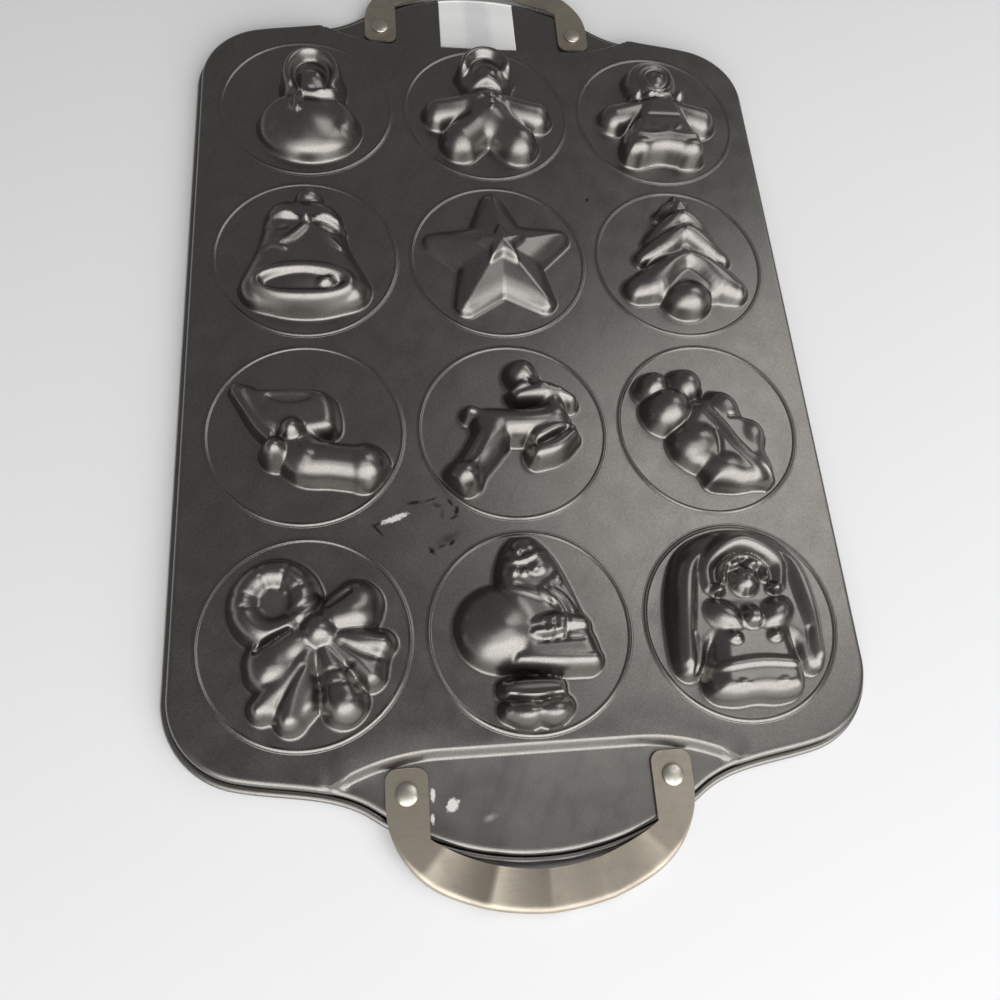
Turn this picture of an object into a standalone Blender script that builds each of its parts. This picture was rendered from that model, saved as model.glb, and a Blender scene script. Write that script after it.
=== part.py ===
"""A shaped cake pan, lying mould side up.

One pressed sheet carries twelve shaped moulds in three columns and four rows, a raised ring round each
mould, and a lowered ledge at each end. Its edge is turned down and rolled round a stiffening wire. Each
ledge carries a stamped handle on two rivets, and the far ledge also carries a blank paper label.

Axes: +Z is up, off the table. +Y runs to the end with the label, +X to the right. The table is at zero.
"""

from math import acos, asin, ceil, cos, pi, radians, sin, sqrt

import bmesh
import bpy
import numpy as np
from mathutils import geometry

# Sizes in metres, angles in degrees.

# Moulds and their grid.
RING_RADIUS = 0.038
RING_BEAD_WIDTH = 0.0016
RING_BEAD_HEIGHT = 0.0005
RING_SEGMENTS = 28
COLUMN_GAP = 0.0067
ROW_GAP = 0.0062
COLUMNS = 3
ROWS = 4
MOULD_FOOT = 0.0012
MOULD_BLEND = 0.0015
MOULD_SOFTENING = 0.0006
RELIEF_STEP = 0.0005
RELIEF_SKIP_STEPS = 2
RELIEF_START = 0.0002

# Sheet, deck and ledges.
SHEET = 0.0006
DECK_HEIGHT = 0.009
SIDE_MARGIN = 0.0083
END_MARGIN = 0.0029
LEDGE_DROP = 0.004
LEDGE_REACH = 0.036
LEDGE_RADIUS = 0.1017
LEDGE_SWEEP = 34.8
STEP_RUN = 0.0026
STEP_BEND_START = 0.036
STEP_BEND_RADIUS = 0.082
CORNER_RADIUS = 0.030
CORNER_SWEEP = 76
CORNER_OVERHANG = 0.0049
CORNER_SEGMENTS = 5
SHOULDER_SEGMENTS = 7
LEDGE_SEGMENTS = 6
SHEET_TRIANGLES = 5200

# Turned-down wall, rolled edge and the wire in it.
WALL_FILLET = 0.002
WALL_INSET = 0.0009
WALL_DRAFT = 0.0004
CURL_RADIUS = 0.0016
CURL_SWEEP = 300
CURL_SEGMENTS = 6
WIRE_RADIUS = 0.0007
WIRE_BEVEL_STEPS = 1

# Handles.
PLATE = 0.001
TAB_WIDTH = 0.015
TAB_SPACING = 0.096
TAB_SET_IN = 0.0052
TAB_CORNER = 0.004
GRIP_REACH = 0.0155
GRIP_INNER_REACH = 0.0011
GRIP_INNER_RADIUS = 0.073
GRIP_OUTER_RADIUS = 0.084
GRIP_CORNER_RADIUS = 0.034
GRIP_LIP_RADIUS = 0.0025
GRIP_LIP_DEPTH = 0.004
FLUTE_DEPTH = 0.0008
FLUTE_COUNT = 4
FLUTE_STEPS = 4
TAB_STEPS = 3
TURN_STEPS = 4
PLATE_STEPS = 3

# Rivets.
RIVET_SET_IN = 0.0138
RIVET_SHANK_RADIUS = 0.0018
RIVET_HEAD_RADIUS = 0.004
RIVET_HEAD_HEIGHT = 0.0018
RIVET_TAIL_RADIUS = 0.003
RIVET_TAIL_HEIGHT = 0.0008
RIVET_SEGMENTS = 16
DOME_STEPS = 4
POINT_MERGE = 0.00001
FILL_MERGE = 0.000001

# Label.
LABEL_WIDTH = 0.0376
LABEL_THICKNESS = 0.0003
LABEL_SET_IN = 0.0038
LABEL_COLUMNS = 6
LABEL_BEND_STEPS = 4

CLEARANCE = 0.0003
HOLE_SEGMENTS = 20
CUT_OVERRUN = 0.002
COLLECTION = "shaped_cake_pan"

# Shapes and counts that no length sets.
SHOULDER_POWER_SHARE = 1.75
BAR_SHOULDER_SHARE = 0.9
FADE_SHARE = 0.12
CORNER_CUT_SHARE = 0.22
CORNER_CUTS = 2
ARC_DEGREES = 9
ARC_LEAST_POINTS = 5
STAR_POINTS = 5
LIMB_STEPS = 5
STEP_LINE_SHARE = 0.66
STEP_LINE_POINTS = 13
KEPT_WEIGHT = 1000
SHARP_ANGLE = 35
FLAT_ANGLE = 0.2
LEAST_SLOPE_SHARE = 0.35
TURN_END_SHARE = 0.72
TURN_RATE_SHARE = 1.25
GRIP_START_SHARE = 0.88
LIP_START_SHARE = 0.3

# Relief of the moulds, in shares of the ring radius, from the middle of the ring.
# blend: how widely the rows after it melt into those before it.
# ball: place, radii, turn, height, shoulder. bar: two ends, two radii, two heights.
# limb: stops of place, radius and height on a smooth curve, then the shoulder.
# slab: outline, corner, shoulder, height, two slopes.
# star: centre, tip and notch radius, corner, wall, shoulder, apex, lean in degrees.
# bump, line, bend, fold and patch add an amount to what they cover: a spot, bar, arc, curve or outline.
SNOW_FIGURE_SHARES = (
    ("blend", 0.1),
    ("ball", 0.03, -0.38, 0.6, 0.46, 0, 0.24, 0.5),
    ("ball", 0.05, -0.39, 0.48, 0.43, 0, 0.35, 1),
    ("ball", 0.075, 0.26, 0.36, 0.41, 0, 0.33, 0.7),
    ("blend", 0.02),
    ("bend", 0.075, 0.17, 0.27, 0.37, 0, 180, 0.09, 0.05),
    ("bend", 0.075, 0.17, 0.275, 0.375, 5, 175, 0.02, -0.03),
    ("bend", 0.075, 0.17, 0.19, 0.27, 10, 170, 0.035, -0.07),
    ("bump", -0.03, 0.13, 0.065, 0.055, 0, 0.05),
    ("bump", 0.15, 0.17, 0.065, 0.055, 0, 0.05),
    ("bump", 0.23, 0.06, 0.11, 0.09, -20, 0.04),
    ("bump", 0.06, 0.06, 0.06, 0.05, 0, 0.05),
    ("blend", 0.06),
    ("limb", (
        (-0.2, 0.02, 0.07, 0.29), (-0.05, -0.06, 0.08, 0.34), (0.12, -0.08, 0.08, 0.345),
        (0.3, -0.05, 0.08, 0.33), (0.38, 0, 0.07, 0.29)
    ), 0.09),
    ("limb", ((-0.06, -0.06, 0.07, 0.36), (-0.1, -0.2, 0.08, 0.385), (-0.085, -0.36, 0.09, 0.4)), 0.08),
    ("line", -0.16, -0.1, -0.02, -0.1, 0.02, -0.02),
    ("bend", 0.03, -0.37, 0.47, 0.35, 112, 195, 0.11, 0.03),
    ("bend", 0.03, -0.37, 0.47, 0.35, 68, -22, 0.11, 0.03),
)
BISCUIT_BOY_SHARES = (
    ("blend", 0.12),
    ("limb", ((-0.6, -0.11, 0.2, 0.26), (-0.42, -0.08, 0.2, 0.27), (-0.1, 0.02, 0.2, 0.28)), 0.2),
    ("limb", ((0.6, -0.11, 0.2, 0.26), (0.42, -0.08, 0.2, 0.27), (0.1, 0.02, 0.2, 0.28)), 0.2),
    ("ball", 0, -0.14, 0.29, 0.4, 0, 0.35, 1),
    ("limb", ((-0.06, -0.24, 0.22, 0.31), (-0.22, -0.4, 0.24, 0.31), (-0.35, -0.53, 0.25, 0.32)), 0.25),
    ("limb", ((0.06, -0.24, 0.22, 0.31), (0.22, -0.41, 0.24, 0.31), (0.35, -0.54, 0.25, 0.32)), 0.25),
    ("blend", 0.03),
    ("ball", 0, 0.45, 0.38, 0.36, 0, 0.29, 0.6),
    ("bend", 0, 0.38, 0.3, 0.3, 10, 170, 0.06, 0.05),
    ("bend", 0, 0.31, 0.29, 0.25, 25, 155, 0.025, 0.03),
    ("bump", -0.08, 0.43, 0.055, 0.045, 0, 0.045),
    ("bump", 0.11, 0.42, 0.055, 0.045, 0, 0.045),
    ("bump", 0.02, 0.34, 0.045, 0.045, 0, 0.055),
    ("fold", (
        (-0.28, 0.17, 0.06), (-0.12, 0.245, 0.06), (0.02, 0.26, 0.05), (0.16, 0.245, 0.06),
        (0.3, 0.17, 0.06)
    ), 0.035),
    ("line", -0.2, 0.1, 0.22, 0.1, 0.03, -0.03),
    ("bump", -0.12, -0.04, 0.075, 0.05, 12, 0.045),
    ("bump", 0.14, -0.04, 0.075, 0.05, -12, 0.045),
    ("bump", 0.02, -0.02, 0.045, 0.045, 0, 0.06),
    ("bump", 0.02, -0.12, 0.045, 0.04, 0, 0.05),
    ("bump", 0.02, -0.23, 0.045, 0.04, 0, 0.045),
)
BISCUIT_GIRL_SHARES = (
    ("blend", 0.08),
    ("limb", ((-0.6, -0.06, 0.18, 0.24), (-0.4, -0.03, 0.18, 0.25), (-0.12, 0.06, 0.18, 0.25)), 0.18),
    ("limb", ((0.6, -0.06, 0.18, 0.24), (0.4, -0.03, 0.18, 0.25), (0.12, 0.06, 0.18, 0.25)), 0.18),
    ("ball", -0.02, 0.46, 0.37, 0.36, 0, 0.27, 0.6),
    ("bend", -0.02, 0.46, 0.3, 0.3, 30, 200, 0.035, 0.02),
    ("slab", (
        (-0.16, 0.16), (0.2, 0.16), (0.28, -0.1), (0.42, -0.4), (0.52, -0.6), (0.4, -0.7),
        (0.24, -0.66), (0.02, -0.6), (-0.2, -0.66), (-0.38, -0.7), (-0.5, -0.6), (-0.4, -0.4),
        (-0.26, -0.1)
    ), 0.08, 0.26, 0.31, 0, -0.02),
    ("ball", -0.33, -0.6, 0.2, 0.17, 0, 0.29, 1),
    ("ball", 0.33, -0.61, 0.2, 0.17, 0, 0.29, 1),
    ("blend", 0.03),
    ("arc", 0, 0.4, 0.19, 0.19, 0, 360, 0.035, 0.33),
    ("ball", 0, 0.4, 0.18, 0.18, 0, 0.315, 0.7),
    ("bump", -0.09, 0.46, 0.05, 0.05, 0, 0.045),
    ("bump", 0.09, 0.46, 0.05, 0.05, 0, 0.045),
    ("bump", 0, 0.37, 0.04, 0.045, 0, 0.05),
    ("bump", 0, 0.27, 0.06, 0.035, 0, 0.035),
    ("ball", -0.26, 0.18, 0.11, 0.1, 0, 0.28, 1),
    ("ball", 0.28, 0.18, 0.11, 0.1, 0, 0.28, 1),
    ("limb", ((-0.12, 0.15, 0.05, 0.33), (0.02, 0.11, 0.05, 0.345), (0.15, 0.15, 0.05, 0.33)), 0.05),
    ("line", -0.26, -0.14, 0.32, -0.14, 0.035, -0.03),
    ("bend", 0.02, -0.32, 0.19, 0.14, 180, 360, 0.03, 0.03),
    ("bend", 0.02, -0.34, 0.12, 0.08, 0, 180, 0.025, 0.02),
    ("bump", 0.05, -0.46, 0.06, 0.05, 0, 0.03),
    ("fold", (
        (-0.44, -0.42, 0.05), (-0.22, -0.49, 0.05), (0.02, -0.46, 0.05), (0.26, -0.49, 0.05),
        (0.46, -0.42, 0.05)
    ), 0.018),
    ("fold", ((-0.46, -0.5, 0.03), (0.02, -0.54, 0.03), (0.48, -0.5, 0.03)), -0.018),
)
BELL_SHARES = (
    ("blend", 0.05),
    ("slab", (
        (-0.08, 0.66), (0.16, 0.66), (0.34, 0.56), (0.38, 0.25), (0.45, 0), (0.6, -0.28),
        (0.67, -0.48), (0.6, -0.64), (0.3, -0.72), (0, -0.73), (-0.32, -0.72), (-0.61, -0.64),
        (-0.69, -0.48), (-0.62, -0.28), (-0.5, 0), (-0.44, 0.25), (-0.4, 0.56), (-0.26, 0.66)
    ), 0.04, 0.26, 0.27, 0, -0.05),
    ("ball", 0.03, 0.73, 0.16, 0.13, 0, 0.22, 0.9),
    ("ball", 0.01, -0.45, 0.63, 0.31, 0, 0.35, 0.9),
    ("blend", 0.03),
    ("bend", 0, -0.5, 0.5, 0.19, 0, 360, 0.05, 0.04),
    ("patch", (
        (-0.5, -0.5), (-0.36, -0.41), (0, -0.37), (0.3, -0.41), (0.45, -0.5), (0.3, -0.59), (0, -0.62),
        (-0.36, -0.59)
    ), 0.01, 0.05, -0.075),
    ("bump", 0.24, -0.5, 0.12, 0.075, 15, 0.085),
    ("limb", ((-0.34, 0.36, 0.075, 0.3), (-0.21, 0.38, 0.1, 0.35), (-0.06, 0.33, 0.06, 0.34)), 0.1),
    ("limb", ((0.36, 0.3, 0.07, 0.3), (0.23, 0.35, 0.095, 0.34), (0.1, 0.33, 0.06, 0.34)), 0.095),
    ("ball", 0.02, 0.31, 0.09, 0.085, 0, 0.385, 1),
    ("fold", ((0, 0.22, 0.05), (-0.13, 0.08, 0.06), (-0.26, 0, 0.04)), 0.045),
    ("fold", ((0.06, 0.24, 0.05), (0.2, 0.12, 0.06), (0.4, -0.04, 0.04)), 0.04),
    ("fold", ((-0.46, -0.1, 0.04), (-0.34, -0.04, 0.045), (-0.22, -0.08, 0.04)), 0.035),
    ("fold", ((-0.4, 0.28, 0.03), (-0.3, 0.2, 0.03), (-0.2, 0.22, 0.03)), -0.025),
    ("fold", ((0.38, 0.22, 0.03), (0.3, 0.17, 0.03), (0.2, 0.2, 0.03)), -0.025),
)
STAR_SHARES = (
    ("blend", 0.015),
    ("star", 0, 0, 0.76, 0.36, 0.13, 0.13, 0.13, 0.4, 3),
    ("star", 0, 0, 0.25, 0.1, 0.03, 0.36, 0.05, 0.43, 3),
)
FIR_TREE_SHARES = (
    ("blend", 0.03),
    ("slab", (
        (0, 0.52), (0.16, 0.4), (0.26, 0.2), (0.34, 0), (0.44, -0.22), (0.5, -0.5), (0.3, -0.56),
        (0, -0.5), (-0.3, -0.56), (-0.5, -0.5), (-0.44, -0.22), (-0.34, 0), (-0.26, 0.2), (-0.16, 0.4)
    ), 0.03, 0.16, 0.19, 0, 0),
    ("limb", (
        (-0.58, -0.43, 0.13, 0.2), (-0.38, -0.34, 0.2, 0.28), (-0.16, -0.17, 0.17, 0.33),
        (0.02, -0.1, 0.14, 0.35), (0.2, -0.17, 0.17, 0.33), (0.42, -0.34, 0.2, 0.28),
        (0.6, -0.44, 0.13, 0.2)
    ), 0.2),
    ("blend", 0.015),
    ("limb", (
        (-0.46, 0, 0.1, 0.19), (-0.24, 0.1, 0.17, 0.3), (0.03, 0.24, 0.16, 0.37),
        (0.28, 0.1, 0.17, 0.3), (0.51, 0, 0.1, 0.19)
    ), 0.17),
    ("limb", (
        (-0.34, 0.22, 0.09, 0.19), (-0.18, 0.33, 0.15, 0.3), (0.02, 0.45, 0.14, 0.37),
        (0.22, 0.33, 0.15, 0.3), (0.38, 0.22, 0.09, 0.19)
    ), 0.15),
    ("star", -0.01, 0.6, 0.18, 0.085, 0.05, 0.27, 0.08, 0.36, 8),
    ("ball", -0.02, -0.55, 0.25, 0.22, 0, 0.32, 1),
    ("line", 0.02, 0.46, 0.02, -0.1, 0.03, 0.015),
)
STOCKING_SHARES = (
    ("blend", 0.04),
    ("limb", (
        (-0.75, 0.37, 0.045, 0.13), (-0.69, 0.5, 0.05, 0.16), (-0.57, 0.46, 0.06, 0.2),
        (-0.47, 0.38, 0.07, 0.24)
    ), 0.05),
    ("limb", ((-0.72, 0.36, 0.045, 0.13), (-0.58, 0.22, 0.05, 0.18), (-0.42, 0, 0.05, 0.2)), 0.05),
    ("slab", (
        (-0.56, 0.4), (-0.45, 0.4), (0.16, 0.4), (0.29, 0.3), (0.33, 0.05), (0.27, -0.08), (0, -0.15),
        (-0.25, -0.15), (-0.4, 0)
    ), 0.04, 0.15, 0.28, 0, 0),
    ("patch", (
        (-0.46, 0.35), (-0.2, 0.37), (0.1, 0.35), (0.13, 0.31), (0, 0.24), (-0.15, 0.22),
        (-0.34, 0.25)
    ), 0.01, 0.045, -0.055),
    ("blend", 0.08),
    ("limb", (
        (-0.14, -0.14, 0.25, 0.28), (0, -0.3, 0.26, 0.305), (0.28, -0.36, 0.235, 0.31),
        (0.56, -0.4, 0.24, 0.32)
    ), 0.22),
    ("ball", 0.57, -0.4, 0.25, 0.235, 0, 0.335, 1),
    ("bend", 0.55, -0.38, 0.22, 0.22, 105, 255, 0.02, -0.035),
    ("blend", 0.01),
    ("ball", -0.115, -0.04, 0.165, 0.165, 0, 0.42, 1),
    ("ball", -0.31, -0.22, 0.165, 0.165, 0, 0.39, 1),
    ("ball", -0.14, -0.34, 0.13, 0.12, 20, 0.34, 1),
)
LEAPING_DEER_SHARES = (
    ("blend", 0.06),
    ("ball", 0.12, 0.61, 0.19, 0.185, 0, 0.3, 1),
    ("bar", 0.18, 0.55, 0.26, 0.46, 0.08, 0.08, 0.26, 0.28),
    ("limb", (
        (0.06, 0.33, 0.1, 0.26), (0.3, 0.36, 0.15, 0.32), (0.46, 0.33, 0.13, 0.31),
        (0.62, 0.28, 0.1, 0.27)
    ), 0.14),
    ("limb", ((-0.02, 0.36, 0.045, 0.22), (0.1, 0.42, 0.07, 0.29), (0.16, 0.4, 0.05, 0.3)), 0.05),
    ("blend", 0.08),
    ("limb", ((0.42, 0.26, 0.13, 0.28), (0.42, 0.1, 0.16, 0.3)), 0.14),
    ("limb", ((-0.26, 0.02, 0.2, 0.3), (0.1, 0, 0.2, 0.32), (0.42, 0.04, 0.2, 0.31)), 0.2),
    ("limb", ((-0.36, 0.08, 0.08, 0.26), (-0.44, 0.15, 0.07, 0.25), (-0.52, 0.19, 0.065, 0.22)), 0.06),
    ("limb", (
        (-0.26, -0.05, 0.2, 0.31), (-0.42, -0.28, 0.18, 0.29), (-0.51, -0.44, 0.15, 0.27),
        (-0.59, -0.58, 0.155, 0.3)
    ), 0.17),
    ("fold", ((-0.4, -0.26, 0.03), (-0.54, -0.34, 0.03), (-0.66, -0.46, 0.03)), -0.02),
    ("blend", 0.04),
    ("limb", ((0.2, -0.15, 0.12, 0.29), (0.42, -0.08, 0.12, 0.3), (0.62, -0.09, 0.09, 0.28)), 0.11),
    ("limb", ((0.22, -0.34, 0.115, 0.28), (0.42, -0.28, 0.11, 0.29), (0.62, -0.13, 0.09, 0.28)), 0.1),
    ("fold", ((0.2, -0.25, 0.04), (0.38, -0.19, 0.04), (0.58, -0.09, 0.03)), -0.09),
    ("bump", 0.3, 0.4, 0.05, 0.045, 0, 0.035),
    ("bump", 0.5, 0.37, 0.05, 0.04, 0, 0.03),
)
HOLLY_SHARES = (
    ("blend", 0.07),
    ("slab", (
        (-0.18, 0.28), (0, 0.26), (0.08, 0.38), (0.22, 0.36), (0.32, 0.2), (0.36, 0.06), (0.52, 0),
        (0.6, -0.14), (0.54, -0.3), (0.58, -0.5), (0.62, -0.74), (0.42, -0.72), (0.18, -0.76),
        (-0.14, -0.72), (-0.12, -0.56), (-0.28, -0.5), (-0.44, -0.36), (-0.48, -0.2), (-0.4, -0.04)
    ), 0.03, 0.2, 0.26, 0, 0),
    ("ball", 0.15, 0.16, 0.22, 0.2, -40, 0.285, 0.9),
    ("ball", 0.4, -0.18, 0.18, 0.22, 0, 0.285, 0.9),
    ("ball", -0.2, -0.22, 0.28, 0.23, 8, 0.315, 1),
    ("ball", 0.06, -0.54, 0.27, 0.21, -8, 0.305, 1),
    ("ball", 0.44, -0.54, 0.16, 0.22, 12, 0.285, 0.9),
    ("fold", ((-0.02, -0.16, 0.03), (0, -0.3, 0.035), (-0.02, -0.44, 0.03)), -0.025),
    ("fold", ((0.16, 0.02, 0.03), (0.28, 0.03, 0.035), (0.4, 0.06, 0.03)), -0.03),
    ("fold", ((-0.12, 0.14, 0.045), (0.04, -0.08, 0.045), (0.2, -0.34, 0.04), (0.5, -0.76, 0.03)), 0.07),
    ("blend", 0.02),
    ("ball", -0.24, 0.45, 0.22, 0.22, 0, 0.32, 1),
    ("ball", -0.6, 0.44, 0.2, 0.19, 0, 0.32, 1),
    ("ball", -0.47, 0.16, 0.28, 0.27, 0, 0.37, 1),
    ("ball", -0.14, 0.14, 0.05, 0.05, 0, 0.3, 1),
)
CANE_AND_BOW_SHARES = (
    ("blend", 0.03),
    ("arc", -0.27, 0.34, 0.27, 0.28, -25, 300, 0.175, 0.31),
    ("line", -0.409, 0.325, -0.708, 0.294, 0.02, -0.025),
    ("line", -0.391, 0.41, -0.651, 0.56, 0.02, -0.025),
    ("line", -0.336, 0.464, -0.477, 0.728, 0.02, -0.025),
    ("line", -0.255, 0.479, -0.224, 0.778, 0.02, -0.025),
    ("line", -0.149, 0.41, 0.111, 0.56, 0.02, -0.025),
    ("fold", ((-0.1, 0.22, 0.04), (0.02, 0.28, 0.045), (0.12, 0.36, 0.03)), -0.03),
    ("blend", 0.06),
    ("limb", ((0.18, 0.08, 0.13, 0.3), (0.34, 0.2, 0.22, 0.33), (0.5, 0.32, 0.24, 0.29)), 0.2),
    ("ball", 0.46, 0.22, 0.27, 0.24, 35, 0.32, 1),
    ("fold", ((0.24, 0.28, 0.03), (0.34, 0.35, 0.04), (0.44, 0.42, 0.03)), -0.07),
    ("limb", ((0.08, 0, 0.13, 0.3), (-0.12, -0.08, 0.22, 0.32), (-0.34, -0.2, 0.22, 0.28)), 0.2),
    ("ball", -0.26, -0.24, 0.3, 0.26, 30, 0.33, 1),
    ("fold", ((-0.42, -0.12, 0.03), (-0.26, -0.02, 0.045), (-0.12, 0.06, 0.03)), -0.09),
    ("limb", ((0.05, -0.15, 0.14, 0.28), (-0.08, -0.45, 0.17, 0.29), (-0.15, -0.75, 0.15, 0.29)), 0.15),
    ("limb", ((0, -0.2, 0.12, 0.26), (-0.22, -0.45, 0.15, 0.27), (-0.38, -0.62, 0.13, 0.26)), 0.14),
    ("limb", ((0.25, -0.02, 0.12, 0.28), (0.5, -0.06, 0.15, 0.27), (0.74, -0.06, 0.11, 0.25)), 0.12),
    ("limb", ((0.25, -0.06, 0.12, 0.28), (0.46, -0.2, 0.15, 0.28), (0.6, -0.4, 0.14, 0.27)), 0.14),
    ("fold", ((0, -0.28, 0.03), (-0.14, -0.5, 0.035), (-0.27, -0.74, 0.03)), -0.03),
    ("fold", ((0.36, -0.08, 0.03), (0.54, -0.18, 0.035), (0.74, -0.24, 0.03)), -0.03),
    ("blend", 0.02),
    ("limb", ((0.2, -0.14, 0.14, 0.28), (0.3, -0.38, 0.17, 0.3), (0.37, -0.6, 0.2, 0.31)), 0.15),
    ("ball", 0.37, -0.61, 0.215, 0.215, 0, 0.33, 1),
    ("line", 0.16, -0.36, 0.44, -0.28, 0.025, -0.03),
    ("line", 0.17, -0.47, 0.52, -0.42, 0.025, -0.02),
    ("ball", 0.15, 0.04, 0.2, 0.195, 0, 0.37, 0.8),
)
GIFT_BRINGER_SHARES = (
    ("blend", 0.05),
    ("slab", (
        (-0.08, 0.92), (0.08, 0.9), (0.24, 0.74), (0.36, 0.48), (0.44, 0.25), (0.54, 0), (0.62, -0.2),
        (0.63, -0.36), (0.3, -0.42), (-0.16, -0.4), (-0.24, -0.1), (-0.3, 0.4), (-0.28, 0.62),
        (-0.2, 0.82)
    ), 0.03, 0.17, 0.29, 0, 0),
    ("limb", ((-0.06, 0.84, 0.1, 0.27), (0, 0.72, 0.15, 0.33), (0.08, 0.58, 0.16, 0.35)), 0.14),
    ("ball", -0.32, 0.02, 0.43, 0.42, 0, 0.33, 0.7),
    ("ball", -0.3, 0, 0.37, 0.37, 0, 0.39, 1),
    ("limb", ((-0.22, 0.36, 0.08, 0.28), (0, 0.32, 0.09, 0.33), (0.18, 0.22, 0.07, 0.34)), 0.08),
    ("fold", ((-0.16, 0.4, 0.025), (0.02, 0.32, 0.03), (0.16, 0.2, 0.025)), -0.03),
    ("blend", 0.03),
    ("limb", ((-0.18, -0.33, 0.1, 0.29), (0.2, -0.34, 0.12, 0.31), (0.58, -0.35, 0.115, 0.3)), 0.12),
    ("line", -0.14, -0.26, 0.54, -0.27, 0.03, -0.025),
    ("slab", ((-0.34, -0.5), (0.24, -0.5), (0.24, -0.66), (-0.34, -0.66)), 0.04, 0.1, 0.25, 0, 0),
    ("limb", ((-0.3, -0.62, 0.06, 0.27), (-0.05, -0.65, 0.065, 0.3), (0.22, -0.63, 0.06, 0.28)), 0.06),
    ("limb", ((-0.28, -0.77, 0.1, 0.24), (-0.12, -0.8, 0.135, 0.29), (0, -0.79, 0.1, 0.27)), 0.12),
    ("limb", ((0, -0.79, 0.1, 0.27), (0.14, -0.79, 0.14, 0.3), (0.24, -0.76, 0.11, 0.26)), 0.12),
    ("limb", ((-0.08, 0, 0.1, 0.33), (0.2, 0.02, 0.15, 0.37), (0.46, 0, 0.13, 0.33)), 0.14),
    ("limb", ((-0.02, -0.08, 0.07, 0.35), (0.12, -0.07, 0.085, 0.385), (0.26, -0.05, 0.07, 0.375)), 0.07),
    ("line", 0.08, -0.16, 0.09, 0.02, 0.02, -0.03),
    ("line", 0.18, -0.15, 0.19, 0.03, 0.02, -0.03),
    ("line", 0.29, -0.14, 0.31, 0.06, 0.025, -0.035),
    ("line", 0, -0.16, 0.46, -0.15, 0.025, -0.02),
    ("fold", ((-0.28, 0.56, 0.05), (-0.08, 0.52, 0.06), (0.1, 0.56, 0.05)), 0.035),
    ("bump", -0.12, 0.72, 0.05, 0.05, 0, 0.05),
    ("bump", 0.27, 0.46, 0.07, 0.055, 0, 0.045),
    ("bump", 0.18, 0.4, 0.1, 0.05, 20, 0.03),
    ("fold", ((0.18, 0.34, 0.03), (0.3, 0.24, 0.035), (0.38, 0.12, 0.03)), 0.03),
    ("fold", ((0.3, 0.38, 0.025), (0.4, 0.26, 0.03), (0.46, 0.14, 0.025)), 0.03),
    ("fold", ((0.1, 0.34, 0.025), (0.22, 0.22, 0.03), (0.28, 0.12, 0.025)), 0.03),
)
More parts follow.
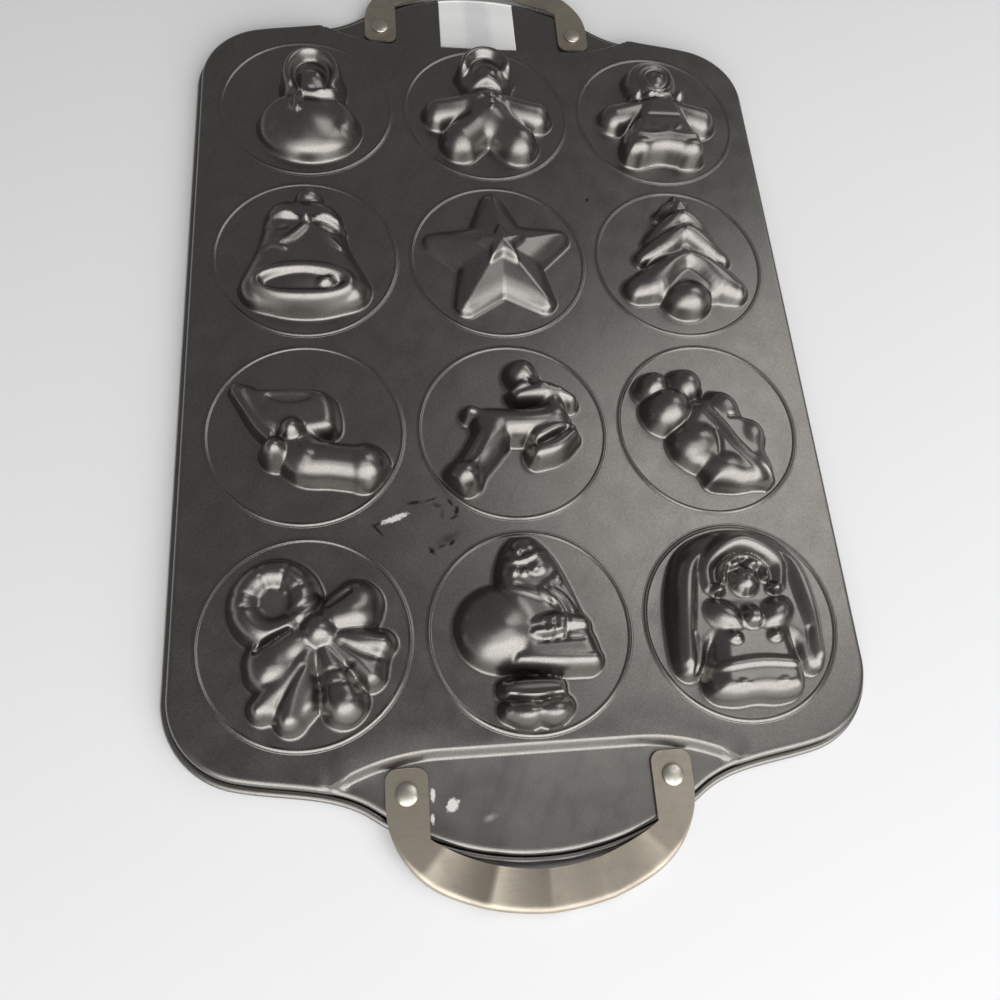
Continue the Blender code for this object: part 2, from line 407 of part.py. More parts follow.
ANGEL_SHARES = (
    ("blend", 0.04),
    ("slab", (
        (0, 0.9), (0.34, 0.86), (0.62, 0.62), (0.71, 0.2), (0.75, -0.3), (0.7, -0.54), (0.56, -0.5),
        (0.46, -0.2), (0, -0.1), (-0.46, -0.2), (-0.56, -0.5), (-0.7, -0.54), (-0.75, -0.3),
        (-0.71, 0.2), (-0.62, 0.62), (-0.34, 0.86)
    ), 0.06, 0.15, 0.22, 0, 0),
    ("limb", (
        (-0.3, 0.72, 0.1, 0.24), (-0.54, 0.52, 0.14, 0.29), (-0.64, 0.1, 0.15, 0.3),
        (-0.68, -0.4, 0.11, 0.26)
    ), 0.14),
    ("limb", (
        (0.3, 0.72, 0.1, 0.24), (0.54, 0.52, 0.14, 0.29), (0.64, 0.1, 0.15, 0.3),
        (0.68, -0.4, 0.11, 0.26)
    ), 0.14),
    ("fold", ((-0.6, -0.16, 0.025), (-0.58, -0.34, 0.03), (-0.62, -0.52, 0.025)), -0.03),
    ("fold", ((0.6, -0.16, 0.025), (0.58, -0.34, 0.03), (0.62, -0.52, 0.025)), -0.03),
    ("limb", (
        (-0.3, 0.34, 0.08, 0.3), (-0.29, 0.62, 0.09, 0.34), (0, 0.77, 0.09, 0.35),
        (0.29, 0.62, 0.09, 0.34), (0.3, 0.34, 0.08, 0.3)
    ), 0.09),
    ("slab", (
        (0, 0.24), (0.28, 0.18), (0.42, -0.02), (0.4, -0.3), (0.48, -0.6), (0.44, -0.76), (0.22, -0.8),
        (0, -0.77), (-0.22, -0.8), (-0.44, -0.76), (-0.48, -0.6), (-0.4, -0.3), (-0.42, -0.02),
        (-0.28, 0.18)
    ), 0.05, 0.2, 0.31, 0, -0.01),
    ("limb", (
        (-0.28, 0.14, 0.1, 0.32), (-0.4, 0, 0.12, 0.34), (-0.3, -0.16, 0.11, 0.36),
        (-0.1, -0.12, 0.08, 0.38)
    ), 0.11),
    ("limb", (
        (0.28, 0.14, 0.1, 0.32), (0.4, 0, 0.12, 0.34), (0.3, -0.16, 0.11, 0.36),
        (0.1, -0.12, 0.08, 0.38)
    ), 0.11),
    ("ball", 0, 0.4, 0.22, 0.27, 0, 0.33, 0.9),
    ("arc", 0, 0.44, 0.23, 0.25, -5, 185, 0.045, 0.36),
    ("ball", -0.28, 0.26, 0.09, 0.085, 0, 0.36, 1),
    ("ball", 0.28, 0.26, 0.09, 0.085, 0, 0.36, 1),
    ("bump", -0.08, 0.44, 0.05, 0.045, 0, 0.03),
    ("bump", 0.08, 0.44, 0.05, 0.045, 0, 0.03),
    ("bump", 0, 0.36, 0.04, 0.055, 0, 0.035),
    ("bump", 0, 0.27, 0.06, 0.04, 0, 0.025),
    ("limb", ((0, 0.14, 0.07, 0.35), (0, -0.02, 0.1, 0.4), (0, -0.14, 0.08, 0.4)), 0.08),
    ("line", 0, 0.12, 0, -0.12, 0.02, -0.02),
    ("limb", ((-0.22, -0.18, 0.05, 0.36), (-0.12, -0.26, 0.055, 0.37)), 0.05),
    ("limb", ((0.22, -0.18, 0.05, 0.36), (0.12, -0.26, 0.055, 0.37)), 0.05),
    ("fold", ((-0.42, -0.52, 0.05), (0, -0.48, 0.055), (0.42, -0.52, 0.05)), 0.035),
    ("fold", ((-0.42, -0.64, 0.03), (0, -0.62, 0.035), (0.42, -0.64, 0.03)), -0.025),
    ("fold", ((-0.42, -0.72, 0.045), (0, -0.7, 0.05), (0.42, -0.72, 0.045)), 0.03),
)
MOULD_SHARES = (
    SNOW_FIGURE_SHARES,
    BISCUIT_BOY_SHARES,
    BISCUIT_GIRL_SHARES,
    BELL_SHARES,
    STAR_SHARES,
    FIR_TREE_SHARES,
    STOCKING_SHARES,
    LEAPING_DEER_SHARES,
    HOLLY_SHARES,
    CANE_AND_BOW_SHARES,
    GIFT_BRINGER_SHARES,
    ANGEL_SHARES,
)
RAISED_KINDS = ("ball", "bar", "arc", "limb", "slab", "star")

COLUMN_PITCH = 2 * RING_RADIUS + COLUMN_GAP
ROW_PITCH = 2 * RING_RADIUS + ROW_GAP
DECK_HALF_WIDTH = COLUMN_PITCH * (COLUMNS - 1) / 2 + RING_RADIUS + SIDE_MARGIN
STEP_Y = ROW_PITCH * (ROWS - 1) / 2 + RING_RADIUS + END_MARGIN
LEDGE_APEX = STEP_Y + LEDGE_REACH
LEDGE_CENTRE = LEDGE_APEX - LEDGE_RADIUS
LEDGE_HEIGHT = DECK_HEIGHT - LEDGE_DROP
CORNER_CENTRE = STEP_Y + CORNER_OVERHANG - CORNER_RADIUS * sin(radians(CORNER_SWEEP))
CURL_CENTRE = WALL_FILLET - WALL_INSET + WALL_DRAFT + CURL_RADIUS - SHEET
PLATE_TOP = LEDGE_HEIGHT + CLEARANCE + PLATE
RIVET_HOLE_RADIUS = RIVET_SHANK_RADIUS + CLEARANCE
TAB_START = STEP_Y + TAB_SET_IN
RIVET_Y = STEP_Y + RIVET_SET_IN


def clear_scene():
    """Removes every object of the startup scene."""
    for obj in list(bpy.data.objects):
        bpy.data.objects.remove(obj, do_unlink=True)


def new_collection(name, is_helper=False):
    """A collection in the scene. A helper's objects aren't rendered."""
    collection = bpy.data.collections.new(name)
    collection.hide_render = is_helper
    bpy.context.scene.collection.children.link(collection)
    return collection


def material(name, colour, roughness, metallic):
    """A Principled material of one colour."""
    made = bpy.data.materials.new(name)
    made.use_nodes = True
    shader = made.node_tree.nodes["Principled BSDF"]
    shader.inputs["Base Color"].default_value = (*colour, 1)
    shader.inputs["Roughness"].default_value = roughness
    shader.inputs["Metallic"].default_value = metallic
    made.diffuse_color = (*colour, 1)
    return made


def coat_material():
    """Dark satin release coat on the pressed sheet."""
    return material("dark_release_coat", (0.075, 0.071, 0.066), 0.38, 0.55)


def wire_material():
    """Bare drawn steel wire."""
    return material("steel_wire", (0.42, 0.42, 0.42), 0.4, 1)


def handle_material():
    """Warm grey bright plate on the handles."""
    return material("handle_plate", (0.46, 0.43, 0.39), 0.2, 1)


def rivet_material():
    """Bright plate on the rivets."""
    return material("rivet_plate", (0.62, 0.6, 0.56), 0.22, 1)


def label_material():
    """White paper."""
    return material("label_paper", (0.85, 0.84, 0.82), 0.75, 0)


def mesh_object(name, points, faces, surface, collection):
    """A smooth shaded mesh object with one material."""
    mesh = bpy.data.meshes.new(name)
    mesh.from_pydata([tuple(point) for point in points], [], [tuple(face) for face in faces])
    mesh.materials.append(surface)
    mesh.shade_smooth()
    obj = bpy.data.objects.new(name, mesh)
    collection.objects.link(obj)
    return obj


def evaluated_arrays(obj):
    """Points and triangles of an object with its modifiers applied."""
    evaluated = obj.evaluated_get(bpy.context.evaluated_depsgraph_get())
    mesh = evaluated.to_mesh()
    mesh.calc_loop_triangles()
    points = np.empty(len(mesh.vertices) * 3, np.float32)
    mesh.vertices.foreach_get("co", points)
    faces = np.empty(len(mesh.loop_triangles) * 3, np.int32)
    mesh.loop_triangles.foreach_get("vertices", faces)
    evaluated.to_mesh_clear()
    return points.reshape(-1, 3).astype(float), faces.reshape(-1, 3)


# Relief of one mould.


def smooth_union(one, other, blend):
    """The higher of two heights, with the valley between them filled over a width of blend."""
    near = np.clip(1 - np.abs(one - other) / blend, 0, None)
    raised = np.clip(np.minimum(one, other) / blend, 0, 1)
    return np.maximum(one, other) + blend / 4 * near**2 * raised


def shoulder_rise(depth, shoulder, height):
    """Height over a depth inside an outline: a concave foot outside it and a convex shoulder inside it."""
    foot = MOULD_FOOT / RING_RADIUS
    outside = np.clip((depth + foot) / foot, 0, 1)
    inside = 1 - np.clip(depth / shoulder, 0, 1)
    rounded_top = (height - foot) * (1 - inside**SHOULDER_POWER_SHARE) ** (1 / SHOULDER_POWER_SHARE)
    return np.where(depth > 0, foot + rounded_top, foot * (1 - np.sqrt(1 - outside**2)))


def oval_depth(x, y, middle_x, middle_y, radius_x, radius_y, turn):
    """Depth inside a turned oval, negative outside it."""
    along = (x - middle_x) * cos(radians(turn)) + (y - middle_y) * sin(radians(turn))
    across = (y - middle_y) * cos(radians(turn)) - (x - middle_x) * sin(radians(turn))
    reach = np.hypot(along / radius_x, across / radius_y)
    slope = np.hypot(along / radius_x**2, across / radius_y**2) + np.finfo(float).eps
    return np.where(reach > 1, (1 - reach) * reach / slope, (1 - reach) * min(radius_x, radius_y))


def limb_depth(x, y, stops):
    """Depth inside a tube through stops of place, radius and height, and the tube's height at each place."""
    depth = np.full(x.shape, -np.inf)
    height = np.zeros(x.shape)
    for (x0, y0, radius0, height0), (x1, y1, radius1, height1) in zip(stops[:-1], stops[1:]):
        run_x, run_y = x1 - x0, y1 - y0
        part = np.clip(((x - x0) * run_x + (y - y0) * run_y) / (run_x**2 + run_y**2), 0, 1)
        away = np.hypot(x - x0 - part * run_x, y - y0 - part * run_y)
        here = radius0 + (radius1 - radius0) * part - away
        height = np.where(here > depth, height0 + (height1 - height0) * part, height)
        depth = np.maximum(depth, here)
    return depth, height


def arc_stops(middle_x, middle_y, radius_x, radius_y, start, end, width, height):
    """Stops along an oval arc, about one for each nine degrees."""
    count = max(ARC_LEAST_POINTS, int(abs(end - start) / ARC_DEGREES) + 1)
    angles = np.radians(np.linspace(start, end, count))
    x = middle_x + radius_x * np.cos(angles)
    y = middle_y + radius_y * np.sin(angles)
    return np.c_[x, y, np.full(count, width), np.full(count, height)]


def eased_stops(stops):
    """Stops of a smooth curve through the given ones, with some more between each two."""
    stops = np.array(stops, float)
    before = np.vstack([2 * stops[0] - stops[1], stops[:-1]])[:-1]
    start, end = stops[:-1], stops[1:]
    after = np.vstack([stops[2:], 2 * stops[-1] - stops[-2]])
    part = (np.arange(LIMB_STEPS) / LIMB_STEPS)[None, :, None]
    leave = (end - before)[:, None] / 2
    arrive = (after - start)[:, None] / 2
    eased = part * part * (3 - 2 * part)
    curve = start[:, None] * (1 - eased) + end[:, None] * eased
    curve = curve + leave * part * (1 - part) ** 2 - arrive * part * part * (1 - part)
    return np.vstack([curve.reshape(-1, stops.shape[1]), stops[-1:]])


def cut_corners(outline):
    """An outline rounded by cutting each corner off twice."""
    outline = np.asarray(outline, float)
    for _ in range(CORNER_CUTS):
        following = np.roll(outline, -1, axis=0)
        near = outline + CORNER_CUT_SHARE * (following - outline)
        far = following - CORNER_CUT_SHARE * (following - outline)
        outline = np.stack([near, far], axis=1).reshape(-1, 2)
    return outline


def outline_depth(x, y, outline, corner):
    """Depth inside a closed outline that is grown by a corner radius."""
    away = np.full(x.shape, np.inf)
    is_inside = np.zeros(x.shape, bool)
    for (x0, y0), (x1, y1) in zip(outline, np.roll(outline, -1, axis=0)):
        run_x, run_y = x1 - x0, y1 - y0
        part = np.clip(((x - x0) * run_x + (y - y0) * run_y) / (run_x**2 + run_y**2), 0, 1)
        away = np.minimum(away, np.hypot(x - x0 - part * run_x, y - y0 - part * run_y))
        if y0 != y1:
            is_inside ^= ((y0 > y) != (y1 > y)) & (x < x0 + (y - y0) * run_x / run_y)
    return np.where(is_inside, away, -away) + corner


def star_rise(x, y, middle_x, middle_y, tip, notch, corner, wall, shoulder, apex, lean):
    """A leaning five-pointed star with a steep wall and flat facets that climb to its middle."""
    corners = np.arange(2 * STAR_POINTS)
    half_turn = pi / STAR_POINTS
    first = pi / 2 + radians(lean)
    angles = first + half_turn * corners
    radii = np.where(corners % 2 == 0, tip, notch)
    outline = np.c_[middle_x + radii * np.cos(angles), middle_y + radii * np.sin(angles)]
    depth = outline_depth(x, y, outline, corner)
    turn = (np.arctan2(y - middle_y, x - middle_x) - first) % (2 * half_turn)
    turn = np.where(turn > half_turn, 2 * half_turn - turn, turn)
    away = np.hypot(x - middle_x, y - middle_y)
    notch_x = (notch + corner) * cos(half_turn)
    notch_y = (notch + corner) * sin(half_turn)
    edge = np.hypot(notch_x - tip - corner, notch_y)
    to_edge = notch_y * (tip + corner - away * np.cos(turn)) + (notch_x - tip - corner) * away * np.sin(turn)
    climb = np.clip(to_edge / edge / (notch_y * (tip + corner) / edge), 0, 1)
    return shoulder_rise(depth, shoulder, wall) + np.where(depth > 0, (apex - wall) * climb, 0)


def spot_amount(depth, width, heights):
    """A soft spot that fades out where there is no mould under it."""
    return np.sin(pi / 2 * np.clip(depth / width, 0, 1)) * np.clip(heights / FADE_SHARE, 0, 1)


def raised_lump(x, y, kind, values):
    """Height of a row of a mould's table that stands on the deck by itself."""
    if kind == "ball":
        *oval, height, shoulder = values
        depth = oval_depth(x, y, *oval)
        return shoulder_rise(depth, shoulder * min(oval[2], oval[3]), height)
    if kind == "bar":
        x0, y0, x1, y1, radius0, radius1, height0, height1 = values
        depth, height = limb_depth(x, y, ((x0, y0, radius0, height0), (x1, y1, radius1, height1)))
        return shoulder_rise(depth, BAR_SHOULDER_SHARE * min(radius0, radius1), height)
    if kind == "arc":
        depth, height = limb_depth(x, y, arc_stops(*values))
        return shoulder_rise(depth, values[-2], height)
    if kind == "limb":
        stops, shoulder = values
        depth, height = limb_depth(x, y, eased_stops(stops))
        return shoulder_rise(depth, shoulder, height)
    if kind == "slab":
        outline, corner, shoulder, height, slope_x, slope_y = values
        depth = outline_depth(x, y, cut_corners(outline), corner)
        return shoulder_rise(depth, shoulder, height + slope_x * x + slope_y * y)
    return star_rise(x, y, *values)


def added_spot(x, y, kind, values, heights):
    """Height that a row of a mould's table adds to the relief under it."""
    if kind == "bump":
        *oval, amount = values
        return amount * spot_amount(oval_depth(x, y, *oval), min(oval[2], oval[3]), heights)
    if kind == "line":
        x0, y0, x1, y1, width, amount = values
        depth, _ = limb_depth(x, y, ((x0, y0, width, 0), (x1, y1, width, 0)))
        return amount * spot_amount(depth, width, heights)
    if kind == "bend":
        *arc, width, amount = values
        depth, _ = limb_depth(x, y, arc_stops(*arc, width, 0))
        return amount * spot_amount(depth, width, heights)
    if kind == "fold":
        stops, amount = values
        depth, width = limb_depth(x, y, eased_stops([(a, b, c, c) for a, b, c in stops]))
        return amount * spot_amount(depth, width, heights)
    outline, corner, shoulder, amount = values
    depth = outline_depth(x, y, cut_corners(outline), corner)
    return amount * spot_amount(depth, shoulder, heights)


def mould_heights(rows, x, y):
    """Heights of one mould, row after row, in shares of the ring radius as its places are."""
    heights = np.zeros(x.shape)
    blend = MOULD_BLEND / RING_RADIUS
    for kind, *values in rows:
        if kind == "blend":
            blend = values[0]
        elif kind in RAISED_KINDS:
            heights = smooth_union(heights, raised_lump(x, y, kind, values), blend)
        else:
            heights = heights + added_spot(x, y, kind, values, heights)
    return heights


def soften(heights, spacing):
    """Heights blurred along both directions of their grid, as a drawn sheet has no sharp edges."""
    reach = int(3 * MOULD_SOFTENING / spacing) + 1
    weights = np.exp(-((np.arange(-reach, reach + 1) * spacing / MOULD_SOFTENING) ** 2) / 2)
    weights /= weights.sum()
    for axis in (0, 1):
        padding = [(0, 0), (0, 0)]
        padding[axis] = (reach, reach)
        padded = np.pad(heights, padding, mode="edge")
        size = heights.shape[axis]
        windows = [np.take(padded, range(start, start + size), axis) for start in range(2 * reach + 1)]
        heights = np.tensordot(weights, windows, 1)
    return heights


def mould_relief(rows, axis):
    """Heights of one mould in metres on a square grid, kept inside its ring."""
    x, y = np.meshgrid(axis / RING_RADIUS, axis / RING_RADIUS)
    heights = mould_heights(rows, x, y)
    room = (RING_RADIUS - RING_BEAD_WIDTH) / RING_RADIUS
    heights *= np.clip((room - np.hypot(x, y)) * RING_RADIUS / MOULD_FOOT, 0, 1)
    return soften(np.clip(heights, 0, None), axis[1] - axis[0]) * RING_RADIUS


def grid_value(heights, axis, x, y):
    """Heights between the points of a square grid, by weighing the four around each place."""
    spacing = axis[1] - axis[0]
    column = np.clip((x - axis[0]) / spacing, 0, len(axis) - 1 - np.finfo(float).eps * len(axis))
    row = np.clip((y - axis[0]) / spacing, 0, len(axis) - 1 - np.finfo(float).eps * len(axis))
    left = column.astype(int)
    low = row.astype(int)
    right = np.minimum(left + 1, len(axis) - 1)
    high = np.minimum(low + 1, len(axis) - 1)
    across = column - left
    up = row - low
    lower = heights[low, left] * (1 - across) + heights[low, right] * across
    upper = heights[high, left] * (1 - across) + heights[high, right] * across
    return lower * (1 - up) + upper * up


def mould_centres():
    """Middle of each mould, left to right along each row, from the far row to the near row."""
    return [
        ((column - (COLUMNS - 1) / 2) * COLUMN_PITCH, ((ROWS - 1) / 2 - row) * ROW_PITCH)
        for row in range(ROWS)
        for column in range(COLUMNS)
    ]


# Outline and levels of the sheet.


def quarter_outline():
    """The far right quarter of the crease above the wall: side, corner arc, shoulder, ledge arc."""
    corner_x = DECK_HALF_WIDTH - CORNER_RADIUS
    sweep = np.radians(np.linspace(0, CORNER_SWEEP, CORNER_SEGMENTS + 1))
    corner = [(corner_x + CORNER_RADIUS * cos(a), CORNER_CENTRE + CORNER_RADIUS * sin(a)) for a in sweep]
    sweep = np.radians(np.linspace(LEDGE_SWEEP, 0, LEDGE_SEGMENTS + 1))
    ledge = [(LEDGE_RADIUS * sin(a), LEDGE_CENTRE + LEDGE_RADIUS * cos(a)) for a in sweep]
    start, end = np.array(corner[-1]), np.array(ledge[0])
    reach = np.linalg.norm(end - start)
    leave = reach * np.array([-sin(radians(CORNER_SWEEP)), cos(radians(CORNER_SWEEP))])
    arrive = reach * np.array([-cos(radians(LEDGE_SWEEP)), sin(radians(LEDGE_SWEEP))])
    shoulder = []
    for part in np.linspace(0, 1, SHOULDER_SEGMENTS + 1)[1:-1]:
        eased = part * part * (3 - 2 * part)
        bend = leave * part * (1 - part) ** 2 - arrive * part * part * (1 - part)
        shoulder.append(tuple(start * (1 - eased) + end * eased + bend))
    return corner + shoulder + ledge


def outline():
    """The whole crease, turning left, as an array of points."""
    quarter = quarter_outline()
    right = [(x, -y) for x, y in reversed(quarter[:-1])] + quarter
    left = [(-x, y) for x, y in reversed(right)]
    near_middle = [(0, -quarter[-1][1])]
    return np.array(near_middle + right + left[1:])


def offset_outline(points, distance):
    """A closed outline moved outward by a distance, with its corners mitred."""
    run = np.roll(points, -1, axis=0) - points
    normal = np.c_[run[:, 1], -run[:, 0]] / np.linalg.norm(run, axis=1)[:, None]
    before = np.roll(normal, 1, axis=0)
    mitre = (normal + before) / (1 + (normal * before).sum(1))[:, None]
    return points + distance * mitre


def step_line(x):
    """Distance from the middle of the pan to the top of the step down to a ledge."""
    past = np.clip(np.abs(x) - STEP_BEND_START, 0, STEP_BEND_RADIUS)
    return STEP_Y + STEP_BEND_RADIUS - np.sqrt(STEP_BEND_RADIUS**2 - past**2)


def base_height(x, y):
    """Top of the sheet without moulds and rings: the deck, the steps and the ledges."""
    part = np.clip((np.abs(y) - step_line(x)) / STEP_RUN, 0, 1)
    return DECK_HEIGHT - LEDGE_DROP * part


def ring_height(x, y):
    """How far the rings stand up from the deck at each place."""
    height = np.zeros(x.shape)
    for middle_x, middle_y in mould_centres():
        from_crest = (np.hypot(x - middle_x, y - middle_y) - RING_RADIUS) / (RING_BEAD_WIDTH / 2)
        height += RING_BEAD_HEIGHT * np.sqrt(np.clip(1 - from_crest**2, 0, 1))
    return height


def sheet_height(x, y, axis, reliefs):
    """Top of the sheet at each place, with its moulds and rings."""
    height = base_height(x, y) + ring_height(x, y)
    for (middle_x, middle_y), relief in zip(mould_centres(), reliefs):
        is_near = np.hypot(x - middle_x, y - middle_y) < RING_RADIUS
        height[is_near] += grid_value(relief, axis, x[is_near] - middle_x, y[is_near] - middle_y)
    return height


def flat_sheet(edge, axis, reliefs):
    """Flat triangles that fill the deck, with points on edge, steps and rings, and close ones on moulds."""
    points = [tuple(point) for point in edge]
    lines = [(start, (start + 1) % len(edge)) for start in range(len(edge))]
    turns = np.radians(np.arange(RING_SEGMENTS) * 360 / RING_SEGMENTS)
    for middle_x, middle_y in mould_centres():
        for radius in RING_RADIUS + RING_BEAD_WIDTH / 2 * np.array((-1, 0, 1)):
            first = len(points)
            points += zip(middle_x + radius * np.cos(turns), middle_y + radius * np.sin(turns))
            lines += [(first + a, first + (a + 1) % RING_SEGMENTS) for a in range(RING_SEGMENTS)]
    for side in (-1, 1):
        for run in (0, STEP_RUN):
            reach = STEP_LINE_SHARE * LEDGE_RADIUS
            places = np.linspace(-reach, reach, STEP_LINE_POINTS)
            first = len(points)
            points += zip(places, side * (step_line(places) + run))
            lines += [(first + a, first + a + 1) for a in range(STEP_LINE_POINTS - 1)]
    kept = len(points)
    x, y = np.meshgrid(axis[::RELIEF_SKIP_STEPS], axis[::RELIEF_SKIP_STEPS])
    is_inside = np.hypot(x, y) < RING_RADIUS - RING_BEAD_WIDTH
    for (middle_x, middle_y), relief in zip(mould_centres(), reliefs):
        is_used = is_inside & (relief[::RELIEF_SKIP_STEPS, ::RELIEF_SKIP_STEPS] > RELIEF_START)
        points += zip(middle_x + x[is_used], middle_y + y[is_used])
    flat, _, faces, origins, _, _ = geometry.delaunay_2d_cdt(points, lines, [], 1, FILL_MERGE)
    is_kept = np.array([any(index < kept for index in origin) for origin in origins])
    return np.array([tuple(point) for point in flat]), faces, is_kept


def thinned_sheet(points, faces, is_kept, collection):
    """The top of the sheet with fewer triangles. The points on rings, steps and edge stay where they are."""
    fine = mesh_object("fine_sheet", points, faces, coat_material(), collection)
    group = fine.vertex_groups.new(name="free")
    group.add(np.flatnonzero(~is_kept).tolist(), 1, "REPLACE")
    thin = fine.modifiers.new("thin", "DECIMATE")
    thin.ratio = SHEET_TRIANGLES / len(faces)
    thin.vertex_group = group.name
    thin.vertex_group_factor = KEPT_WEIGHT
    arrays = evaluated_arrays(fine)
    bpy.data.objects.remove(fine, do_unlink=True)
    return arrays


def edge_loop(faces):
    """Vertices of the open edge of a mesh in order, turning left."""
    starts = faces.reshape(-1)
    ends = np.roll(faces, -1, axis=1).reshape(-1)
    pairs = set(zip(starts.tolist(), ends.tolist()))
    following = {start: end for start, end in pairs if (end, start) not in pairs}
    loop = [min(following)]
    while following[loop[-1]] != loop[0]:
        loop.append(following[loop[-1]])
    return np.array(loop)


def upward_share(points, faces):
    """Upward part of the unit normal at each point, weighed by area."""
    corners = points[faces]
    normals = np.cross(corners[:, 1] - corners[:, 0], corners[:, 2] - corners[:, 0])
    summed = np.zeros(points.shape)
    for corner in range(3):
        np.add.at(summed, faces[:, corner], normals)
    return summed[:, 2] / np.linalg.norm(summed, axis=1)


def wall_section(skin):
    """Section of the wall and rolled edge: distance out, height, and whether it hangs from the deck.

    skin is zero on the face that shows from above and the sheet's thickness on the other.
    """
    section = []
    for angle in (pi / 4, 0):
        out = (WALL_FILLET - skin) * cos(angle) - WALL_INSET
        section.append((out, (WALL_FILLET - skin) * sin(angle) - WALL_FILLET, True))
    radius = CURL_RADIUS - SHEET + skin
    for step in range(CURL_SEGMENTS + 1):
        angle = pi + radians(CURL_SWEEP * step / CURL_SEGMENTS)
        section.append((CURL_CENTRE + radius * cos(angle), CURL_RADIUS + radius * sin(angle), False))
    return section


def join_flat_faces(mesh, places):
    """Joins the triangles that lie in one plane among the named points, then splits what's left anew."""
    builder = bmesh.new()
    builder.from_mesh(mesh)
    builder.verts.ensure_lookup_table()
    chosen = {builder.verts[place] for place in places}
    edges = [edge for edge in builder.edges if edge.verts[0] in chosen and edge.verts[1] in chosen]
    bmesh.ops.dissolve_limit(builder, angle_limit=radians(FLAT_ANGLE), verts=list(chosen), edges=edges)
    bmesh.ops.triangulate(builder, faces=[face for face in builder.faces if len(face.verts) > 3])
    builder.to_mesh(mesh)
    builder.free()


def pan_sheet(collection, cutters):
    """The pressed sheet: thinned top, the same surface below it, and the wall and rolled edge round both."""
    steps = ceil(RING_RADIUS / RELIEF_STEP)
    axis = np.arange(-steps, steps + 1) * RELIEF_STEP
    reliefs = [mould_relief(rows, axis) for rows in MOULD_SHARES]
    crease = outline()
    flat, faces, is_kept = flat_sheet(offset_outline(crease, -WALL_INSET), axis, reliefs)
    heights = sheet_height(flat[:, 0], flat[:, 1], axis, reliefs)
    top, faces = thinned_sheet(np.c_[flat, heights], faces, is_kept, collection)
    loop = edge_loop(faces)
    drop = SHEET / np.maximum(upward_share(top, faces), LEAST_SLOPE_SHARE)
    drop[loop] = SHEET
    below = top.copy()
    floor = base_height(top[:, 0], top[:, 1]) - SHEET
    below[:, 2] = np.maximum(top[:, 2] - ring_height(top[:, 0], top[:, 1]) - drop, floor)
    points = [top, below]
    count = len(top)
    all_faces = [faces, faces[:, ::-1] + count]
    edge = offset_outline(top[loop, :2], WALL_INSET)
    edge_height = top[loop, 2]
    outer = wall_section(0)
    inner = wall_section(SHEET)[::-1]
    rows = [loop]
    total = 2 * count
    for out, height, is_hung in outer + inner:
        level = edge_height + height if is_hung else np.full(len(loop), height)
        points.append(np.c_[offset_outline(edge, out), level])
        rows.append(np.arange(len(loop)) + total)
        total += len(loop)
    rows.append(loop + count)
    for near, far in zip(rows[:-1], rows[1:]):
        ahead, far_ahead = np.roll(near, -1), np.roll(far, -1)
        all_faces += [np.c_[near, far, far_ahead], np.c_[near, far_ahead, ahead]]
    sheet = mesh_object("pan_sheet", np.vstack(points), np.vstack(all_faces), coat_material(), collection)
    join_flat_faces(sheet.data, range(count, 2 * count))
    for x, y in rivet_places():
        add_hole(sheet, cutters, x, y)
    return sheet


# Wire, handles, rivets and label.


def rim_wire(collection):
    """The wire that the edge is rolled round."""
    path = offset_outline(outline(), CURL_CENTRE)
    curve = bpy.data.curves.new("rim_wire", "CURVE")
    curve.dimensions = "3D"
    curve.bevel_depth = WIRE_RADIUS
    curve.bevel_resolution = WIRE_BEVEL_STEPS
    spline = curve.splines.new("POLY")
    spline.points.add(len(path) - 1)
    for point, (x, y) in zip(spline.points, path):
        point.co = (x, y, CURL_RADIUS, 1)
    spline.use_cyclic_u = True
    curve.materials.append(wire_material())
    wire = bpy.data.objects.new("rim_wire", curve)
    collection.objects.link(wire)
    return wire


def rivet_places():
    """Middle of each rivet: near left, near right, far left, far right."""
    return [(side * TAB_SPACING / 2, end * RIVET_Y) for end in (-1, 1) for side in (-1, 1)]


def add_hole(obj, cutters, x, y):
    """Cuts a rivet hole through an object. x and y are in the object's own frame."""
    mesh = bpy.data.meshes.new("rivet_hole")
    cutter_mesh = bmesh.new()
    height = PLATE_TOP + 2 * CUT_OVERRUN
    bmesh.ops.create_cone(
        cutter_mesh,
        cap_ends=True,
        segments=HOLE_SEGMENTS,
        radius1=RIVET_HOLE_RADIUS,
        radius2=RIVET_HOLE_RADIUS,
        depth=height,
    )
    cutter_mesh.to_mesh(mesh)
    cutter_mesh.free()
    cutter = bpy.data.objects.new("rivet_hole", mesh)
    cutter.location = (x, y, PLATE_TOP / 2)
    cutter.parent = obj
    cutter.display_type = "WIRE"
    cutters.objects.link(cutter)
    hole = obj.modifiers.new("rivet_hole", "BOOLEAN")
    hole.operation = "DIFFERENCE"
    hole.solver = "EXACT"
    hole.object = cutter


def circle_height(radius, apex, x):
    """Height of an arc over x, when its highest point is at the apex."""
    return apex - radius + sqrt(radius**2 - x**2)


